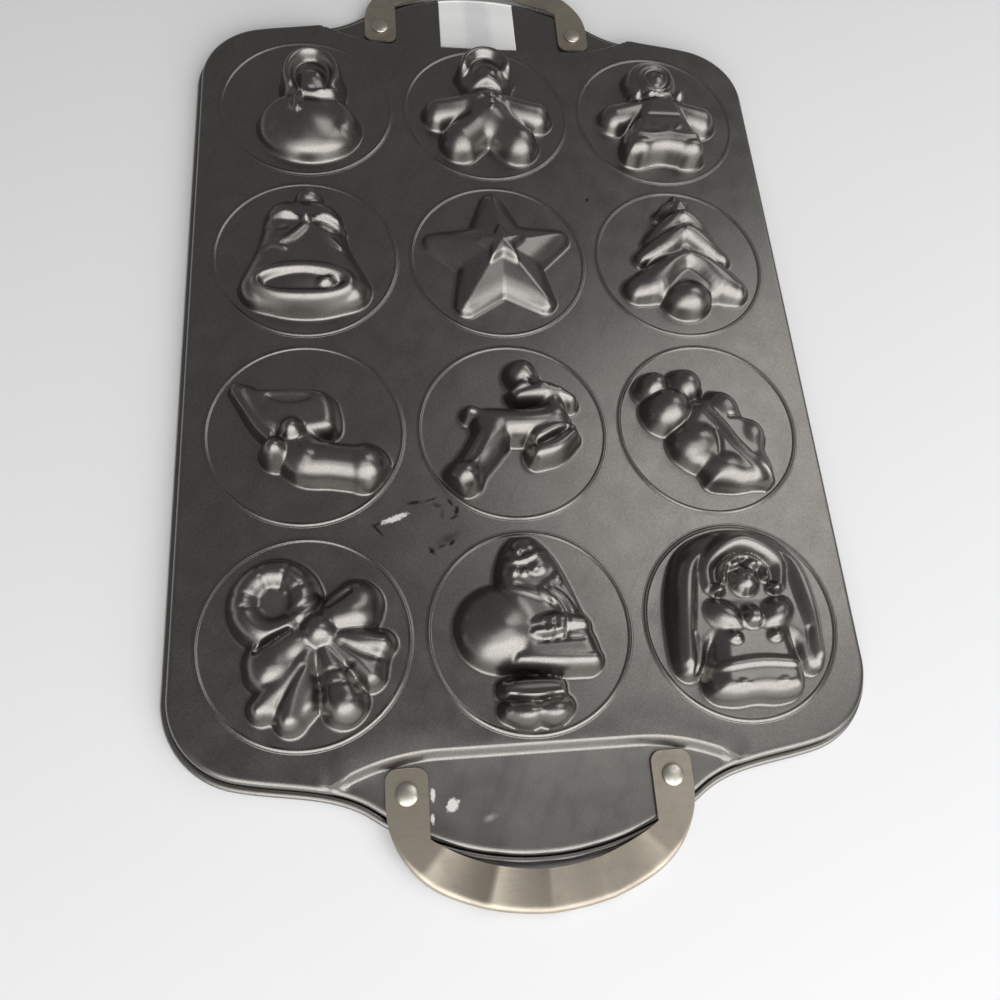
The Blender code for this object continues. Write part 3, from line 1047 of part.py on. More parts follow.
def handle_stations():
    """Inner and outer point, lip share and flute share at the stations of the right half, tab end first."""
    inner_x = (TAB_SPACING - TAB_WIDTH) / 2
    outer_x = (TAB_SPACING + TAB_WIDTH) / 2
    inner_apex = LEDGE_APEX + CURL_CENTRE + CURL_RADIUS + GRIP_INNER_REACH
    outer_apex = inner_apex + GRIP_REACH - GRIP_INNER_REACH
    corner_x = outer_x - GRIP_CORNER_RADIUS
    between = GRIP_OUTER_RADIUS - GRIP_CORNER_RADIUS
    corner_y = outer_apex - GRIP_OUTER_RADIUS + sqrt(between**2 - corner_x**2)
    join = acos(corner_x / between)
    inner_corner = circle_height(GRIP_INNER_RADIUS, inner_apex, inner_x)
    stations = []
    for step in range(TAB_STEPS + 1):
        back = TAB_CORNER * (1 - cos(pi / 2 * step / TAB_STEPS))
        round_in = TAB_CORNER - sqrt(TAB_CORNER**2 - (TAB_CORNER - back) ** 2)
        place = TAB_START + back
        stations.append(((inner_x + round_in, place), (outer_x - round_in, place), 0, 0))
    turn_end = join * TURN_END_SHARE
    for step in range(TURN_STEPS + 1):
        share = step / TURN_STEPS
        angle = turn_end * share
        outer = (corner_x + GRIP_CORNER_RADIUS * cos(angle), corner_y + GRIP_CORNER_RADIUS * sin(angle))
        inner = (inner_x, corner_y + (inner_corner - corner_y) * min(1, share * TURN_RATE_SHARE))
        if share == 1:
            start_x = inner_x * GRIP_START_SHARE
            inner = (start_x, circle_height(GRIP_INNER_RADIUS, inner_apex, start_x))
        lip = max(0, (share - LIP_START_SHARE) / (1 - LIP_START_SHARE))
        stations.append((inner, outer, lip, 0))
    grip_start = stations[-1][0][0]
    outer_start = stations[-1][1][0]
    count = FLUTE_COUNT // 2 * FLUTE_STEPS
    for step in range(1, count + 1):
        share = 1 - step / count
        x_in = grip_start * share
        x_out = outer_start * share
        angle = acos(max(-1, min(1, (x_out - corner_x) / GRIP_CORNER_RADIUS))) if x_out > corner_x else 0
        on_corner = corner_y + GRIP_CORNER_RADIUS * sin(angle)
        on_grip = circle_height(GRIP_OUTER_RADIUS, outer_apex, x_out)
        is_corner = x_out > corner_x + GRIP_CORNER_RADIUS * cos(join)
        in_flute = step % FLUTE_STEPS / FLUTE_STEPS
        flute = 1 - (2 * in_flute - 1) ** 2
        outer = (x_out, on_corner if is_corner else on_grip)
        stations.append(((x_in, circle_height(GRIP_INNER_RADIUS, inner_apex, x_in)), outer, 1, flute))
    return stations


def handle_section(inner, outer, lip, flute):
    """Closed section of the handle plate between an inner and an outer point, as points in space."""
    inner, outer = np.array(inner), np.array(outer)
    length = np.linalg.norm(outer - inner)
    across = (outer - inner) / length
    bend = GRIP_LIP_RADIUS * lip
    inside_bend = max(bend - PLATE, 0)
    depth = PLATE + (GRIP_LIP_DEPTH - PLATE) * lip
    top = PLATE_TOP - FLUTE_DEPTH * flute
    profile = [((length - bend) * step / PLATE_STEPS, top) for step in range(PLATE_STEPS + 1)]
    profile += [(length - bend + bend * sin(a), top - bend + bend * cos(a)) for a in (pi / 4, pi / 2)]
    profile += [(length, top - depth), (length - PLATE, top - depth)]
    middle = length - PLATE - inside_bend
    low = top - PLATE - inside_bend
    profile += [
        (middle + inside_bend * sin(a), low + inside_bend * cos(a)) for a in (pi / 2, pi / 4, 0)
    ]
    profile += [(middle * step / PLATE_STEPS, top - PLATE) for step in range(PLATE_STEPS - 1, -1, -1)]
    return [(*(inner + across * along), height) for along, height in profile]


def handle_mesh():
    """Mesh of one handle, for the far end."""
    right = handle_stations()
    left = [((-a[0], a[1]), (-b[0], b[1]), lip, flute) for a, b, lip, flute in reversed(right[:-1])]
    sections = [handle_section(*station) for station in right + left]
    builder = bmesh.new()
    rings = [[builder.verts.new(point) for point in section] for section in sections]
    for near, far in zip(rings[:-1], rings[1:]):
        for index in range(len(near)):
            after = (index + 1) % len(near)
            builder.faces.new((near[index], near[after], far[after], far[index]))
    builder.faces.new(rings[0][::-1])
    builder.faces.new(rings[-1])
    bmesh.ops.remove_doubles(builder, verts=builder.verts, dist=POINT_MERGE)
    bmesh.ops.recalc_face_normals(builder, faces=builder.faces)
    mesh = bpy.data.meshes.new("handle")
    builder.to_mesh(mesh)
    builder.free()
    mesh.materials.append(handle_material())
    mesh.shade_smooth()
    mesh.set_sharp_from_angle(angle=radians(SHARP_ANGLE))
    return mesh


def handles(collection, cutters):
    """The far handle, and the near one turned half round."""
    mesh = handle_mesh()
    for name, turn in (("far_handle", 0), ("near_handle", pi)):
        handle = bpy.data.objects.new(name, mesh)
        handle.rotation_euler.z = turn
        collection.objects.link(handle)
        for side in (-1, 1):
            add_hole(handle, cutters, side * TAB_SPACING / 2, RIVET_Y)


def rivet_mesh():
    """Half section of a rivet, drawn from the top of its head down to its tail."""
    head_base = PLATE_TOP + CLEARANCE
    tail_top = LEDGE_HEIGHT - SHEET - CLEARANCE
    section = []
    for step in range(DOME_STEPS + 1):
        angle = pi / 2 * step / DOME_STEPS
        section.append((RIVET_HEAD_RADIUS * sin(angle), head_base + RIVET_HEAD_HEIGHT * cos(angle)))
    section += [
        (RIVET_SHANK_RADIUS, head_base),
        (RIVET_SHANK_RADIUS, tail_top),
        (RIVET_TAIL_RADIUS, tail_top),
        (RIVET_TAIL_RADIUS - RIVET_TAIL_HEIGHT / 2, tail_top - RIVET_TAIL_HEIGHT),
        (0, tail_top - RIVET_TAIL_HEIGHT),
    ]
    mesh = bpy.data.meshes.new("rivet")
    mesh.from_pydata([(x, 0, z) for x, z in section], [(a, a + 1) for a in range(len(section) - 1)], [])
    mesh.materials.append(rivet_material())
    return mesh


def rivets(collection):
    """Four rivets that share one turned section."""
    mesh = rivet_mesh()
    names = ("near_left_rivet", "near_right_rivet", "far_left_rivet", "far_right_rivet")
    for name, (x, y) in zip(names, rivet_places()):
        rivet = bpy.data.objects.new(name, mesh)
        rivet.location = (x, y, 0)
        collection.objects.link(rivet)
        turned = rivet.modifiers.new("turned", "SCREW")
        turned.steps = RIVET_SEGMENTS
        turned.render_steps = RIVET_SEGMENTS
        turned.use_merge_vertices = True
        turned.merge_threshold = POINT_MERGE
        turned.use_smooth_shade = True


def blank_label(collection):
    """Paper strip on the far ledge that bends down over the wall. It follows the ledge's arc."""
    radius = WALL_FILLET + CLEARANCE + LABEL_THICKNESS
    lowest = 2 * CURL_RADIUS + CLEARANCE - LEDGE_HEIGHT
    bends = np.linspace(pi / 2, asin((WALL_FILLET + lowest) / radius), LABEL_BEND_STEPS + 1)
    columns = []
    for x in np.linspace(-LABEL_WIDTH / 2, LABEL_WIDTH / 2, LABEL_COLUMNS):
        lean = asin(x / LEDGE_RADIUS)
        section = [(x, STEP_Y + LABEL_SET_IN, CLEARANCE + LABEL_THICKNESS)]
        for angle in bends:
            out = LEDGE_RADIUS - WALL_INSET + radius * cos(angle)
            height = radius * sin(angle) - WALL_FILLET
            section.append((out * sin(lean), LEDGE_CENTRE + out * cos(lean), height))
        columns.append(section)
    count = len(columns[0])
    points = [(x, y, z + LEDGE_HEIGHT) for section in columns for x, y, z in section]
    faces = []
    for column in range(LABEL_COLUMNS - 1):
        for row in range(count - 1):
            near = column * count + row
            faces.append((near, near + count, near + count + 1, near + 1))
    label = mesh_object("blank_label", points, faces, label_material(), collection)
    thick = label.modifiers.new("thickness", "SOLIDIFY")
    thick.thickness = LABEL_THICKNESS
    thick.offset = -1
    thick.use_even_offset = True
    return label


def main():
    clear_scene()
    parts = new_collection(COLLECTION)
    cutters = new_collection("cutters", is_helper=True)
    pan_sheet(parts, cutters)
    rim_wire(parts)
    handles(parts, cutters)
    rivets(parts)
    blank_label(parts)


main()
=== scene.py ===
"""Shaped cake pan, lying mould side up on a table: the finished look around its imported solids.

Every surface is worked out on a grid of two parameters, or is a section carried along a path. All sizes are
in metres and all places in the pan's own frame: +Z is up, +Y runs to the end with the label.
"""

from math import acos, asin, cos, pi, radians, sin, sqrt

import bpy
import numpy as np
from bpy.props import FloatProperty, FloatVectorProperty, PointerProperty
from mathutils import Euler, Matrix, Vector, geometry


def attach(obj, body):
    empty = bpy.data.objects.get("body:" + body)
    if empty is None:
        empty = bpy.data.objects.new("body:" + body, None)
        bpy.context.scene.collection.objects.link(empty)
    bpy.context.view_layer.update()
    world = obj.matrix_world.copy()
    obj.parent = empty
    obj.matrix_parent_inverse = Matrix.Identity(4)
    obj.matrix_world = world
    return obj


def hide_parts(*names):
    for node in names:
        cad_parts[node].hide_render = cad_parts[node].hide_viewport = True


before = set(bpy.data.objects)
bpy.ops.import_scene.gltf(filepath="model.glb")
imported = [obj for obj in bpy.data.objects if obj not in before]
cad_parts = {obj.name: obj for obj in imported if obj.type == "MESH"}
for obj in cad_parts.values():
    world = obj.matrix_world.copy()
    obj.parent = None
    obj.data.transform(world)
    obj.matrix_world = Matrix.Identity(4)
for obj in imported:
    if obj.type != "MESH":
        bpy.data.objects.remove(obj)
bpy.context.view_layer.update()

bl_info = {
    "name": "Shaped Cake Pan",
    "version": (1, 0, 0),
    "blender": (4, 5, 0),
    "location": "3D View > Sidebar > Cake Pan",
    "description": "Makes a pressed cake pan with twelve shaped moulds, its handles, rivets and label",
    "category": "Add Mesh",
}

BODY = "root"

# Moulds and their grid.
RING_RADIUS = 0.038
RING_BEAD_WIDTH = 0.0018
RING_BEAD_HEIGHT = 0.0005
COLUMN_GAP = 0.0067
ROW_GAP = 0.0062
COLUMNS = 3
ROWS = 4
MOULD_FOOT = 0.0012
MOULD_REACH = 0.0366
SHELL_EDGE = 0.0394
SHELL_ROWS = (0.0368, 0.037, 0.0371, 0.0373, 0.0375, 0.0377, 0.0379, 0.038, 0.0381, 0.0383, 0.0385, 0.0387,
              0.0389, 0.0391, SHELL_EDGE)
GRID_COUNT = 149
BLUR_CELLS = 2.4
BLUR_REACH_SHARE = 3

# Sheet, deck and ledges.
DECK_HEIGHT = 0.009
SIDE_MARGIN = 0.0083
END_MARGIN = 0.0029
LEDGE_DROP = 0.004
LEDGE_REACH = 0.036
LEDGE_RADIUS = 0.1017
LEDGE_SWEEP = 34.8
STEP_RUN = 0.0026
STEP_BEND_START = 0.036
STEP_BEND_RADIUS = 0.082
STEP_ROWS = 13
STEP_ROW_REACH = 0.0008
STEP_LINE_POINTS = 61
STEP_LINE_REACH = 0.0671
CORNER_RADIUS = 0.030
CORNER_SWEEP = 76
CORNER_OVERHANG = 0.0049
CORNER_SEGMENTS = 24
SHOULDER_SEGMENTS = 28
LEDGE_SEGMENTS = 26
CIRCLE_SKIP = 4
EDGE_GUARD = 0.0008
FILL_MERGE = 0.000001

# Turned-down wall and rolled edge.
WALL_FILLET = 0.002
WALL_INSET = 0.0009
WALL_DRAFT = 0.0004
FILLET_SEGMENTS = 7
CURL_RADIUS = 0.0016
CURL_SWEEP = 300
CURL_SEGMENTS = 24

# Handles.
PLATE = 0.001
TAB_WIDTH = 0.015
TAB_SPACING = 0.096
TAB_SET_IN = 0.0052
TAB_CORNER = 0.004
GRIP_REACH = 0.0155
GRIP_INNER_REACH = 0.0011
GRIP_INNER_RADIUS = 0.073
GRIP_OUTER_RADIUS = 0.084
GRIP_CORNER_RADIUS = 0.034
GRIP_LIP_RADIUS = 0.0025
GRIP_LIP_DEPTH = 0.004
FLUTE_COUNT = 4
FLUTE_STEPS = 16
TAB_STEPS = 10
TURN_STEPS = 20
TURN_END_SHARE = 0.72
TURN_RATE_SHARE = 1.25
GRIP_START_SHARE = 0.88
LIP_START_SHARE = 0.3
PLATE_STEPS = 12
BEND_STEPS = 8
EDGE_ROUND = 0.00018
EDGE_ROUND_SEGMENTS = 2
POINT_MERGE = 0.000001
SHARP_ANGLE = 35

# Rivets.
RIVET_SET_IN = 0.0138
RIVET_SHANK_RADIUS = 0.0018
RIVET_HEAD_RADIUS = 0.004
RIVET_TAIL_RADIUS = 0.003
RIVET_TAIL_HEIGHT = 0.0008
RIVET_SEGMENTS = 64
DOME_STEPS = 14
CLEARANCE = 0.0003
HEAD_CLEARANCE = CLEARANCE / 3
HEAD_RIM_SHARE = 1 / 6

# Label.
LABEL_WIDTH = 0.0376
LABEL_THICKNESS = 0.0003
LABEL_SET_IN = 0.0038
LABEL_COLUMNS = 60
LABEL_ROWS = 40
LABEL_BEND_ROWS = 16
LABEL_WAVES = 1.5
LABEL_WAVE_SKEW = 2
LABEL_CORNER_POWER = 4
LABEL_FAR_FADE = 4

# How the relief of a mould is rounded.
SHOULDER_POWER_SHARE = 1.75
FADE_SHARE = 0.12
CORNER_CUT_SHARE = 0.22
CORNER_CUTS = 2
ARC_DEGREES = 9
ARC_LEAST_POINTS = 5
STAR_POINTS = 5
LIMB_STEPS = 5

COLUMN_PITCH = 2 * RING_RADIUS + COLUMN_GAP
ROW_PITCH = 2 * RING_RADIUS + ROW_GAP
DECK_HALF_WIDTH = COLUMN_PITCH * (COLUMNS - 1) / 2 + RING_RADIUS + SIDE_MARGIN
STEP_Y = ROW_PITCH * (ROWS - 1) / 2 + RING_RADIUS + END_MARGIN
LEDGE_APEX = STEP_Y + LEDGE_REACH
LEDGE_CENTRE = LEDGE_APEX - LEDGE_RADIUS
LEDGE_HEIGHT = DECK_HEIGHT - LEDGE_DROP
CORNER_CENTRE = STEP_Y + CORNER_OVERHANG - CORNER_RADIUS * sin(radians(CORNER_SWEEP))
PLATE_TOP = LEDGE_HEIGHT + CLEARANCE + PLATE
TAB_START = STEP_Y + TAB_SET_IN
RIVET_Y = STEP_Y + RIVET_SET_IN

# Finishes. A mark has its middle, turn, size, softness and share. The pale ones are paper left on the coat.
COAT_METAL_SHARE = 1
COAT_GLOSS_SHARE = 0.5
GRAIN_DEPTH = 0.000008
MARK_NOISE = 900
MARK_RAGGEDNESS = 1.6
MARK_SLOPES = (0.1, 0.4)
PALE_MARK = (0.72, 0.7, 0.67)
DARK_MARK = (0.02, 0.017, 0.015)
PALE_MARKS = (
    ((-0.0491, -0.0777), 21, (0.0054, 0.0011), 0.25, 1),
    ((-0.0323, -0.1826), 52, (0.0026, 0.0019), 0.2, 1),
    ((-0.039, -0.1786), 88, (0.0024, 0.0009), 0.2, 1),
    ((-0.0394, -0.1868), 88, (0.0015, 0.0007), 0.2, 1),
    ((-0.0195, -0.1878), 20, (0.0018, 0.0008), 0.8, 0.4),
)
DARK_MARKS = (
    ((-0.0415, -0.0715), 8, (0.0026, 0.0007), 0.5, 0.8),
    ((-0.035, -0.0704), 14, (0.0024, 0.0004), 0.5, 0.7),
    ((-0.0327, -0.0728), -20, (0.0014, 0.0008), 0.8, 0.6),
    ((-0.0274, -0.0717), -58, (0.0016, 0.0006), 0.5, 0.8),
    ((-0.0251, -0.0752), 78, (0.0018, 0.0008), 0.5, 0.9),
    ((-0.0263, -0.078), 25, (0.0014, 0.0005), 0.5, 0.8),
    ((-0.0308, -0.0768), 80, (0.0016, 0.0006), 0.9, 0.5),
    ((-0.029, -0.0866), 24, (0.0036, 0.0014), 0.9, 0.5),
    ((-0.0276, -0.0882), 40, (0.0014, 0.0007), 0.5, 0.9),
    ((-0.0316, -0.0894), 20, (0.0015, 0.0006), 0.6, 0.7),
    ((-0.0353, -0.0912), -60, (0.0016, 0.0008), 0.5, 0.9),
    ((-0.0556, -0.0798), 24, (0.0018, 0.0005), 0.5, 0.8),
    ((-0.0556, -0.0822), -50, (0.0028, 0.0005), 0.5, 0.8),
    ((0.0437, 0.0747), 0, (0.0008, 0.0008), 0.4, 0.8),
)
PAPER_BANDS = (
    ((0.0006, 0.178), 2, (0.0062, 0.06), 0.3, 1),
)

# Stage.
TABLE_REACH = 4
FRONT_PLACE = (0.22, -1.15, 0.48)
FRONT_SIZE = (2.6, 0.95)
TOP_PLACE = (0.12, -0.7, 0.92)
TOP_SIZE = (1.6, 0.6)
SIDE_PLACE = (0.56, 0.24, 0.8)
SIDE_SIZE = (0.6, 0.8)
CAMERA_PLACE = (-0.0551045, -0.1838064, 0.3175595)
CAMERA_TURN = (20.41462053, -7.17053154, -4.28832021)
CAMERA_LENS = 30.3586
CAMERA_SENSOR = 36
CAMERA_NEAREST = 0.01

# Relief of the moulds, in shares of the ring radius, from the middle of the ring. Turns are in degrees.
# blend: how widely the rows after it melt into those before it. Each table begins with one.
# both: the row that it names, and then its mirror image, left to right.
# ball: place, radii, turn, height, shoulder as a share of the smaller radius.
# arc: middle, radii, first and last turn, half width, height.
# limb: stops of place, radius and height on a smooth curve, then the shoulder.
# slab: outline, corner, shoulder, height, two slopes. even_slab: the same from the outline's right half.
# star: middle, tip and notch radius, corner, wall, shoulder, apex, lean.
# bump, line, bend, fold and patch add an amount to what they cover: an oval, a straight stroke, an arc,
# a smooth curve or an outline.
SNOW_FIGURE_SHARES = (
    ("blend", 0.1),
    ("ball", 0.03, -0.38, 0.6, 0.46, 0, 0.26, 0.5),
    ("blend", 0.02),
    ("ball", 0.04, -0.39, 0.46, 0.43, 0, 0.355, 1),
    ("blend", 0.06),
    ("ball", 0.075, 0.2, 0.33, 0.38, 0, 0.25, 0.5),
    ("blend", 0.025),
    ("arc", 0.075, 0.22, 0.285, 0.345, -30, 210, 0.1, 0.37),
    ("ball", 0.075, 0.13, 0.24, 0.27, 0, 0.335, 0.8),
    ("bump", 0, 0.19, 0.05, 0.045, 0, 0.03),
    ("bump", 0.15, 0.19, 0.05, 0.045, 0, 0.03),
    ("bump", 0.08, 0.12, 0.06, 0.05, 0, 0.018),
    ("bend", 0.078, 0.06, 0.1, 0.07, 200, 340, 0.025, -0.02),
    ("blend", 0.06),
    ("limb", (
        (-0.2, 0.02, 0.07, 0.29), (-0.05, -0.06, 0.08, 0.34), (0.12, -0.08, 0.08, 0.345),
        (0.3, -0.05, 0.08, 0.33), (0.38, 0, 0.07, 0.29)
    ), 0.09),
    ("limb", ((-0.06, -0.06, 0.07, 0.36), (-0.1, -0.2, 0.08, 0.385), (-0.085, -0.36, 0.09, 0.4)), 0.08),
    ("bend", 0.03, -0.37, 0.47, 0.35, 112, 195, 0.11, 0.03),
    ("bend", 0.03, -0.37, 0.47, 0.35, 68, -22, 0.11, 0.03),
)
BISCUIT_BOY_SHARES = (
    ("blend", 0.12),
    ("both", "limb", ((-0.6, -0.11, 0.2, 0.26), (-0.42, -0.08, 0.2, 0.27), (-0.1, 0.02, 0.2, 0.28)), 0.2),
    ("ball", 0, -0.14, 0.29, 0.4, 0, 0.35, 1),
    ("limb", ((-0.06, -0.24, 0.22, 0.31), (-0.22, -0.4, 0.24, 0.31), (-0.35, -0.53, 0.25, 0.32)), 0.25),
    ("limb", ((0.06, -0.24, 0.22, 0.31), (0.22, -0.41, 0.24, 0.31), (0.35, -0.54, 0.25, 0.32)), 0.25),
    ("blend", 0.03),
    ("ball", 0, 0.44, 0.34, 0.34, 0, 0.25, 0.6),
    ("arc", 0, 0.45, 0.27, 0.27, 5, 175, 0.1, 0.35),
    ("ball", 0, 0.36, 0.25, 0.23, 0, 0.32, 1),
    ("bend", 0, 0.36, 0.19, 0.16, 20, 160, 0.045, 0.03),
    ("bump", -0.08, 0.38, 0.045, 0.04, 0, 0.03),
    ("bump", 0.09, 0.38, 0.045, 0.04, 0, 0.03),
    ("bump", 0.005, 0.31, 0.045, 0.04, 0, 0.018),
    ("fold", (
        (-0.28, 0.17, 0.06), (-0.12, 0.245, 0.06), (0.02, 0.26, 0.05), (0.16, 0.245, 0.06),
        (0.3, 0.17, 0.06)
    ), 0.035),
    ("line", -0.2, 0.1, 0.22, 0.1, 0.03, -0.03),
    ("bump", -0.12, -0.04, 0.075, 0.05, 12, 0.045),
    ("bump", 0.14, -0.04, 0.075, 0.05, -12, 0.045),
    ("bump", 0.02, -0.02, 0.045, 0.045, 0, 0.06),
    ("bump", 0.02, -0.12, 0.045, 0.04, 0, 0.05),
    ("bump", 0.02, -0.23, 0.045, 0.04, 0, 0.045),
)
BISCUIT_GIRL_SHARES = (
    ("blend", 0.08),
    ("both", "limb", ((-0.56, -0.08, 0.2, 0.25), (-0.4, -0.04, 0.2, 0.26), (-0.12, 0.06, 0.18, 0.25)), 0.2),
    ("ball", -0.02, 0.46, 0.37, 0.36, 0, 0.27, 0.6),
    ("bend", -0.02, 0.46, 0.3, 0.3, 30, 200, 0.035, 0.02),
    ("blend", 0.02),
    ("slab", (
        (-0.19, 0.17), (0.22, 0.17), (0.3, -0.1), (0.4, -0.35), (0.5, -0.58), (0.5, -0.7),
        (0.36, -0.75), (0.16, -0.7), (0, -0.67), (-0.16, -0.7), (-0.34, -0.76), (-0.5, -0.72),
        (-0.52, -0.58), (-0.42, -0.35), (-0.28, -0.1)
    ), 0.03, 0.15, 0.3, 0, -0.03),
    ("blend", 0.05),
    ("ball", -0.32, -0.62, 0.21, 0.15, 0, 0.325, 1),
    ("ball", 0.32, -0.63, 0.21, 0.15, 0, 0.325, 1),
    ("blend", 0.03),
    ("arc", 0, 0.4, 0.19, 0.19, 0, 360, 0.035, 0.33),
    ("ball", 0, 0.4, 0.18, 0.18, 0, 0.315, 0.7),
    ("bump", -0.07, 0.45, 0.045, 0.045, 0, 0.025),
    ("bump", 0.08, 0.45, 0.045, 0.045, 0, 0.025),
    ("bump", 0, 0.38, 0.04, 0.04, 0, 0.02),
    ("bump", 0, 0.3, 0.06, 0.03, 0, 0.015),
    ("ball", -0.26, 0.18, 0.11, 0.1, 0, 0.32, 1),
    ("ball", 0.28, 0.18, 0.11, 0.1, 0, 0.32, 1),
    ("limb", ((-0.13, 0.17, 0.05, 0.33), (0.02, 0.14, 0.05, 0.34), (0.16, 0.17, 0.05, 0.33)), 0.05),
    ("line", -0.3, -0.2, 0.34, -0.2, 0.025, -0.02),
    ("bend", 0.02, -0.3, 0.17, 0.16, 200, 340, 0.025, 0.02),
    ("bump", 0.03, -0.42, 0.05, 0.05, 0, 0.025),
    ("fold", (
        (-0.46, -0.49, 0.05), (-0.22, -0.53, 0.05), (0.02, -0.5, 0.05), (0.26, -0.53, 0.05),
        (0.46, -0.49, 0.05)
    ), 0.03),
)
BELL_SHARES = (
    ("blend", 0.05),
    ("slab", (
        (-0.08, 0.66), (0.16, 0.66), (0.34, 0.56), (0.38, 0.25), (0.45, 0), (0.6, -0.28),
        (0.67, -0.48), (0.6, -0.64), (0.3, -0.72), (0, -0.73), (-0.32, -0.72), (-0.61, -0.64),
        (-0.69, -0.48), (-0.62, -0.28), (-0.5, 0), (-0.44, 0.25), (-0.4, 0.56), (-0.26, 0.66)
    ), 0.04, 0.26, 0.27, 0, -0.05),
    ("ball", 0.03, 0.73, 0.16, 0.13, 0, 0.22, 0.9),
    ("ball", 0, -0.47, 0.66, 0.33, 0, 0.36, 1),
    ("blend", 0.03),
    ("bend", 0, -0.5, 0.5, 0.19, 0, 360, 0.06, 0.04),
    ("patch", (
        (-0.5, -0.5), (-0.36, -0.41), (0, -0.37), (0.3, -0.41), (0.45, -0.5), (0.3, -0.59), (0, -0.62),
        (-0.36, -0.59)
    ), 0.01, 0.05, -0.075),
    ("bump", 0.24, -0.5, 0.12, 0.075, 15, 0.085),
    ("limb", ((-0.34, 0.36, 0.075, 0.3), (-0.21, 0.38, 0.1, 0.35), (-0.06, 0.33, 0.06, 0.34)), 0.1),
    ("limb", ((0.36, 0.3, 0.07, 0.3), (0.23, 0.35, 0.095, 0.34), (0.1, 0.33, 0.06, 0.34)), 0.095),
    ("ball", 0.02, 0.31, 0.09, 0.085, 0, 0.385, 1),
    ("fold", ((0, 0.22, 0.05), (-0.13, 0.08, 0.06), (-0.26, 0, 0.04)), 0.045),
    ("fold", ((0.06, 0.24, 0.05), (0.2, 0.12, 0.06), (0.4, -0.04, 0.04)), 0.04),
    ("fold", ((-0.46, -0.1, 0.04), (-0.34, -0.04, 0.045), (-0.22, -0.08, 0.04)), 0.035),
    ("fold", ((-0.4, 0.28, 0.03), (-0.3, 0.2, 0.03), (-0.2, 0.22, 0.03)), -0.025),
    ("fold", ((0.38, 0.22, 0.03), (0.3, 0.17, 0.03), (0.2, 0.2, 0.03)), -0.025),
)
STAR_SHARES = (
    ("blend", 0.015),
    ("star", 0, 0, 0.76, 0.36, 0.13, 0.13, 0.17, 0.35, 3),
    ("star", 0, 0, 0.28, 0.13, 0.03, 0.35, 0.05, 0.424, 3),
)
FIR_TREE_SHARES = (
    ("blend", 0.03),
    ("even_slab", (
        (0, 0.52), (0.16, 0.4), (0.26, 0.2), (0.34, 0), (0.44, -0.22), (0.5, -0.5), (0.3, -0.56), (0, -0.5)
    ), 0.03, 0.16, 0.19, 0, 0),
    ("limb", (
        (-0.58, -0.43, 0.16, 0.22), (-0.38, -0.35, 0.21, 0.28), (-0.16, -0.17, 0.17, 0.33),
        (0.02, -0.1, 0.14, 0.35), (0.2, -0.17, 0.17, 0.33), (0.42, -0.35, 0.21, 0.28),
        (0.6, -0.44, 0.16, 0.22)
    ), 0.2),
    ("blend", 0.015),
    ("limb", (
        (-0.46, 0, 0.1, 0.19), (-0.24, 0.1, 0.17, 0.3), (0.03, 0.24, 0.16, 0.37),
        (0.28, 0.1, 0.17, 0.3), (0.51, 0, 0.1, 0.19)
    ), 0.17),
    ("limb", (
        (-0.34, 0.22, 0.09, 0.19), (-0.18, 0.33, 0.15, 0.3), (0.02, 0.45, 0.14, 0.37),
        (0.22, 0.33, 0.15, 0.3), (0.38, 0.22, 0.09, 0.19)
    ), 0.15),
    ("star", -0.01, 0.6, 0.18, 0.085, 0.05, 0.27, 0.08, 0.36, 8),
    ("ball", -0.01, -0.57, 0.29, 0.23, 0, 0.31, 1),
    ("line", 0.02, 0.46, 0.02, -0.1, 0.03, 0.015),
)
STOCKING_SHARES = (
    ("blend", 0.05),
    ("limb", (
        (-0.7, 0.48, 0.07, 0.17), (-0.6, 0.42, 0.1, 0.19), (-0.48, 0.32, 0.12, 0.22),
        (-0.34, 0.24, 0.12, 0.24)
    ), 0.1),
    ("limb", (
        (-0.72, 0.44, 0.05, 0.16), (-0.6, 0.24, 0.06, 0.19), (-0.46, 0.02, 0.07, 0.21),
        (-0.34, -0.1, 0.08, 0.22)
    ), 0.06),
    ("slab", (
        (-0.62, 0.42), (-0.45, 0.4), (0.14, 0.4), (0.26, 0.33), (0.31, 0.12), (0.3, -0.05), (0, -0.1),
        (-0.25, -0.1), (-0.42, 0), (-0.54, 0.2)
    ), 0.05, 0.14, 0.27, 0, 0.02),
    ("fold", ((-0.7, 0.52, 0.035), (-0.64, 0.44, 0.035), (-0.56, 0.4, 0.03)), 0.03),
    ("patch", (
        (-0.4, 0.33), (-0.2, 0.35), (0.06, 0.34), (0.12, 0.29), (0, 0.23), (-0.15, 0.21),
        (-0.32, 0.24)
    ), 0.01, 0.05, -0.04),
    ("blend", 0.04),
    ("limb", (
        (-0.1, -0.18, 0.25, 0.28), (0.02, -0.34, 0.25, 0.305), (0.28, -0.38, 0.235, 0.31),
        (0.56, -0.42, 0.24, 0.31)
    ), 0.22),
    ("blend", 0.02),
    ("ball", 0.6, -0.42, 0.25, 0.26, 0, 0.345, 1),
    ("ball", 0.03, -0.34, 0.2, 0.22, 35, 0.335, 1),
    ("blend", 0.01),
    ("ball", -0.115, -0.07, 0.17, 0.175, 0, 0.412, 1),
    ("ball", -0.28, -0.27, 0.17, 0.16, 0, 0.39, 1),
)
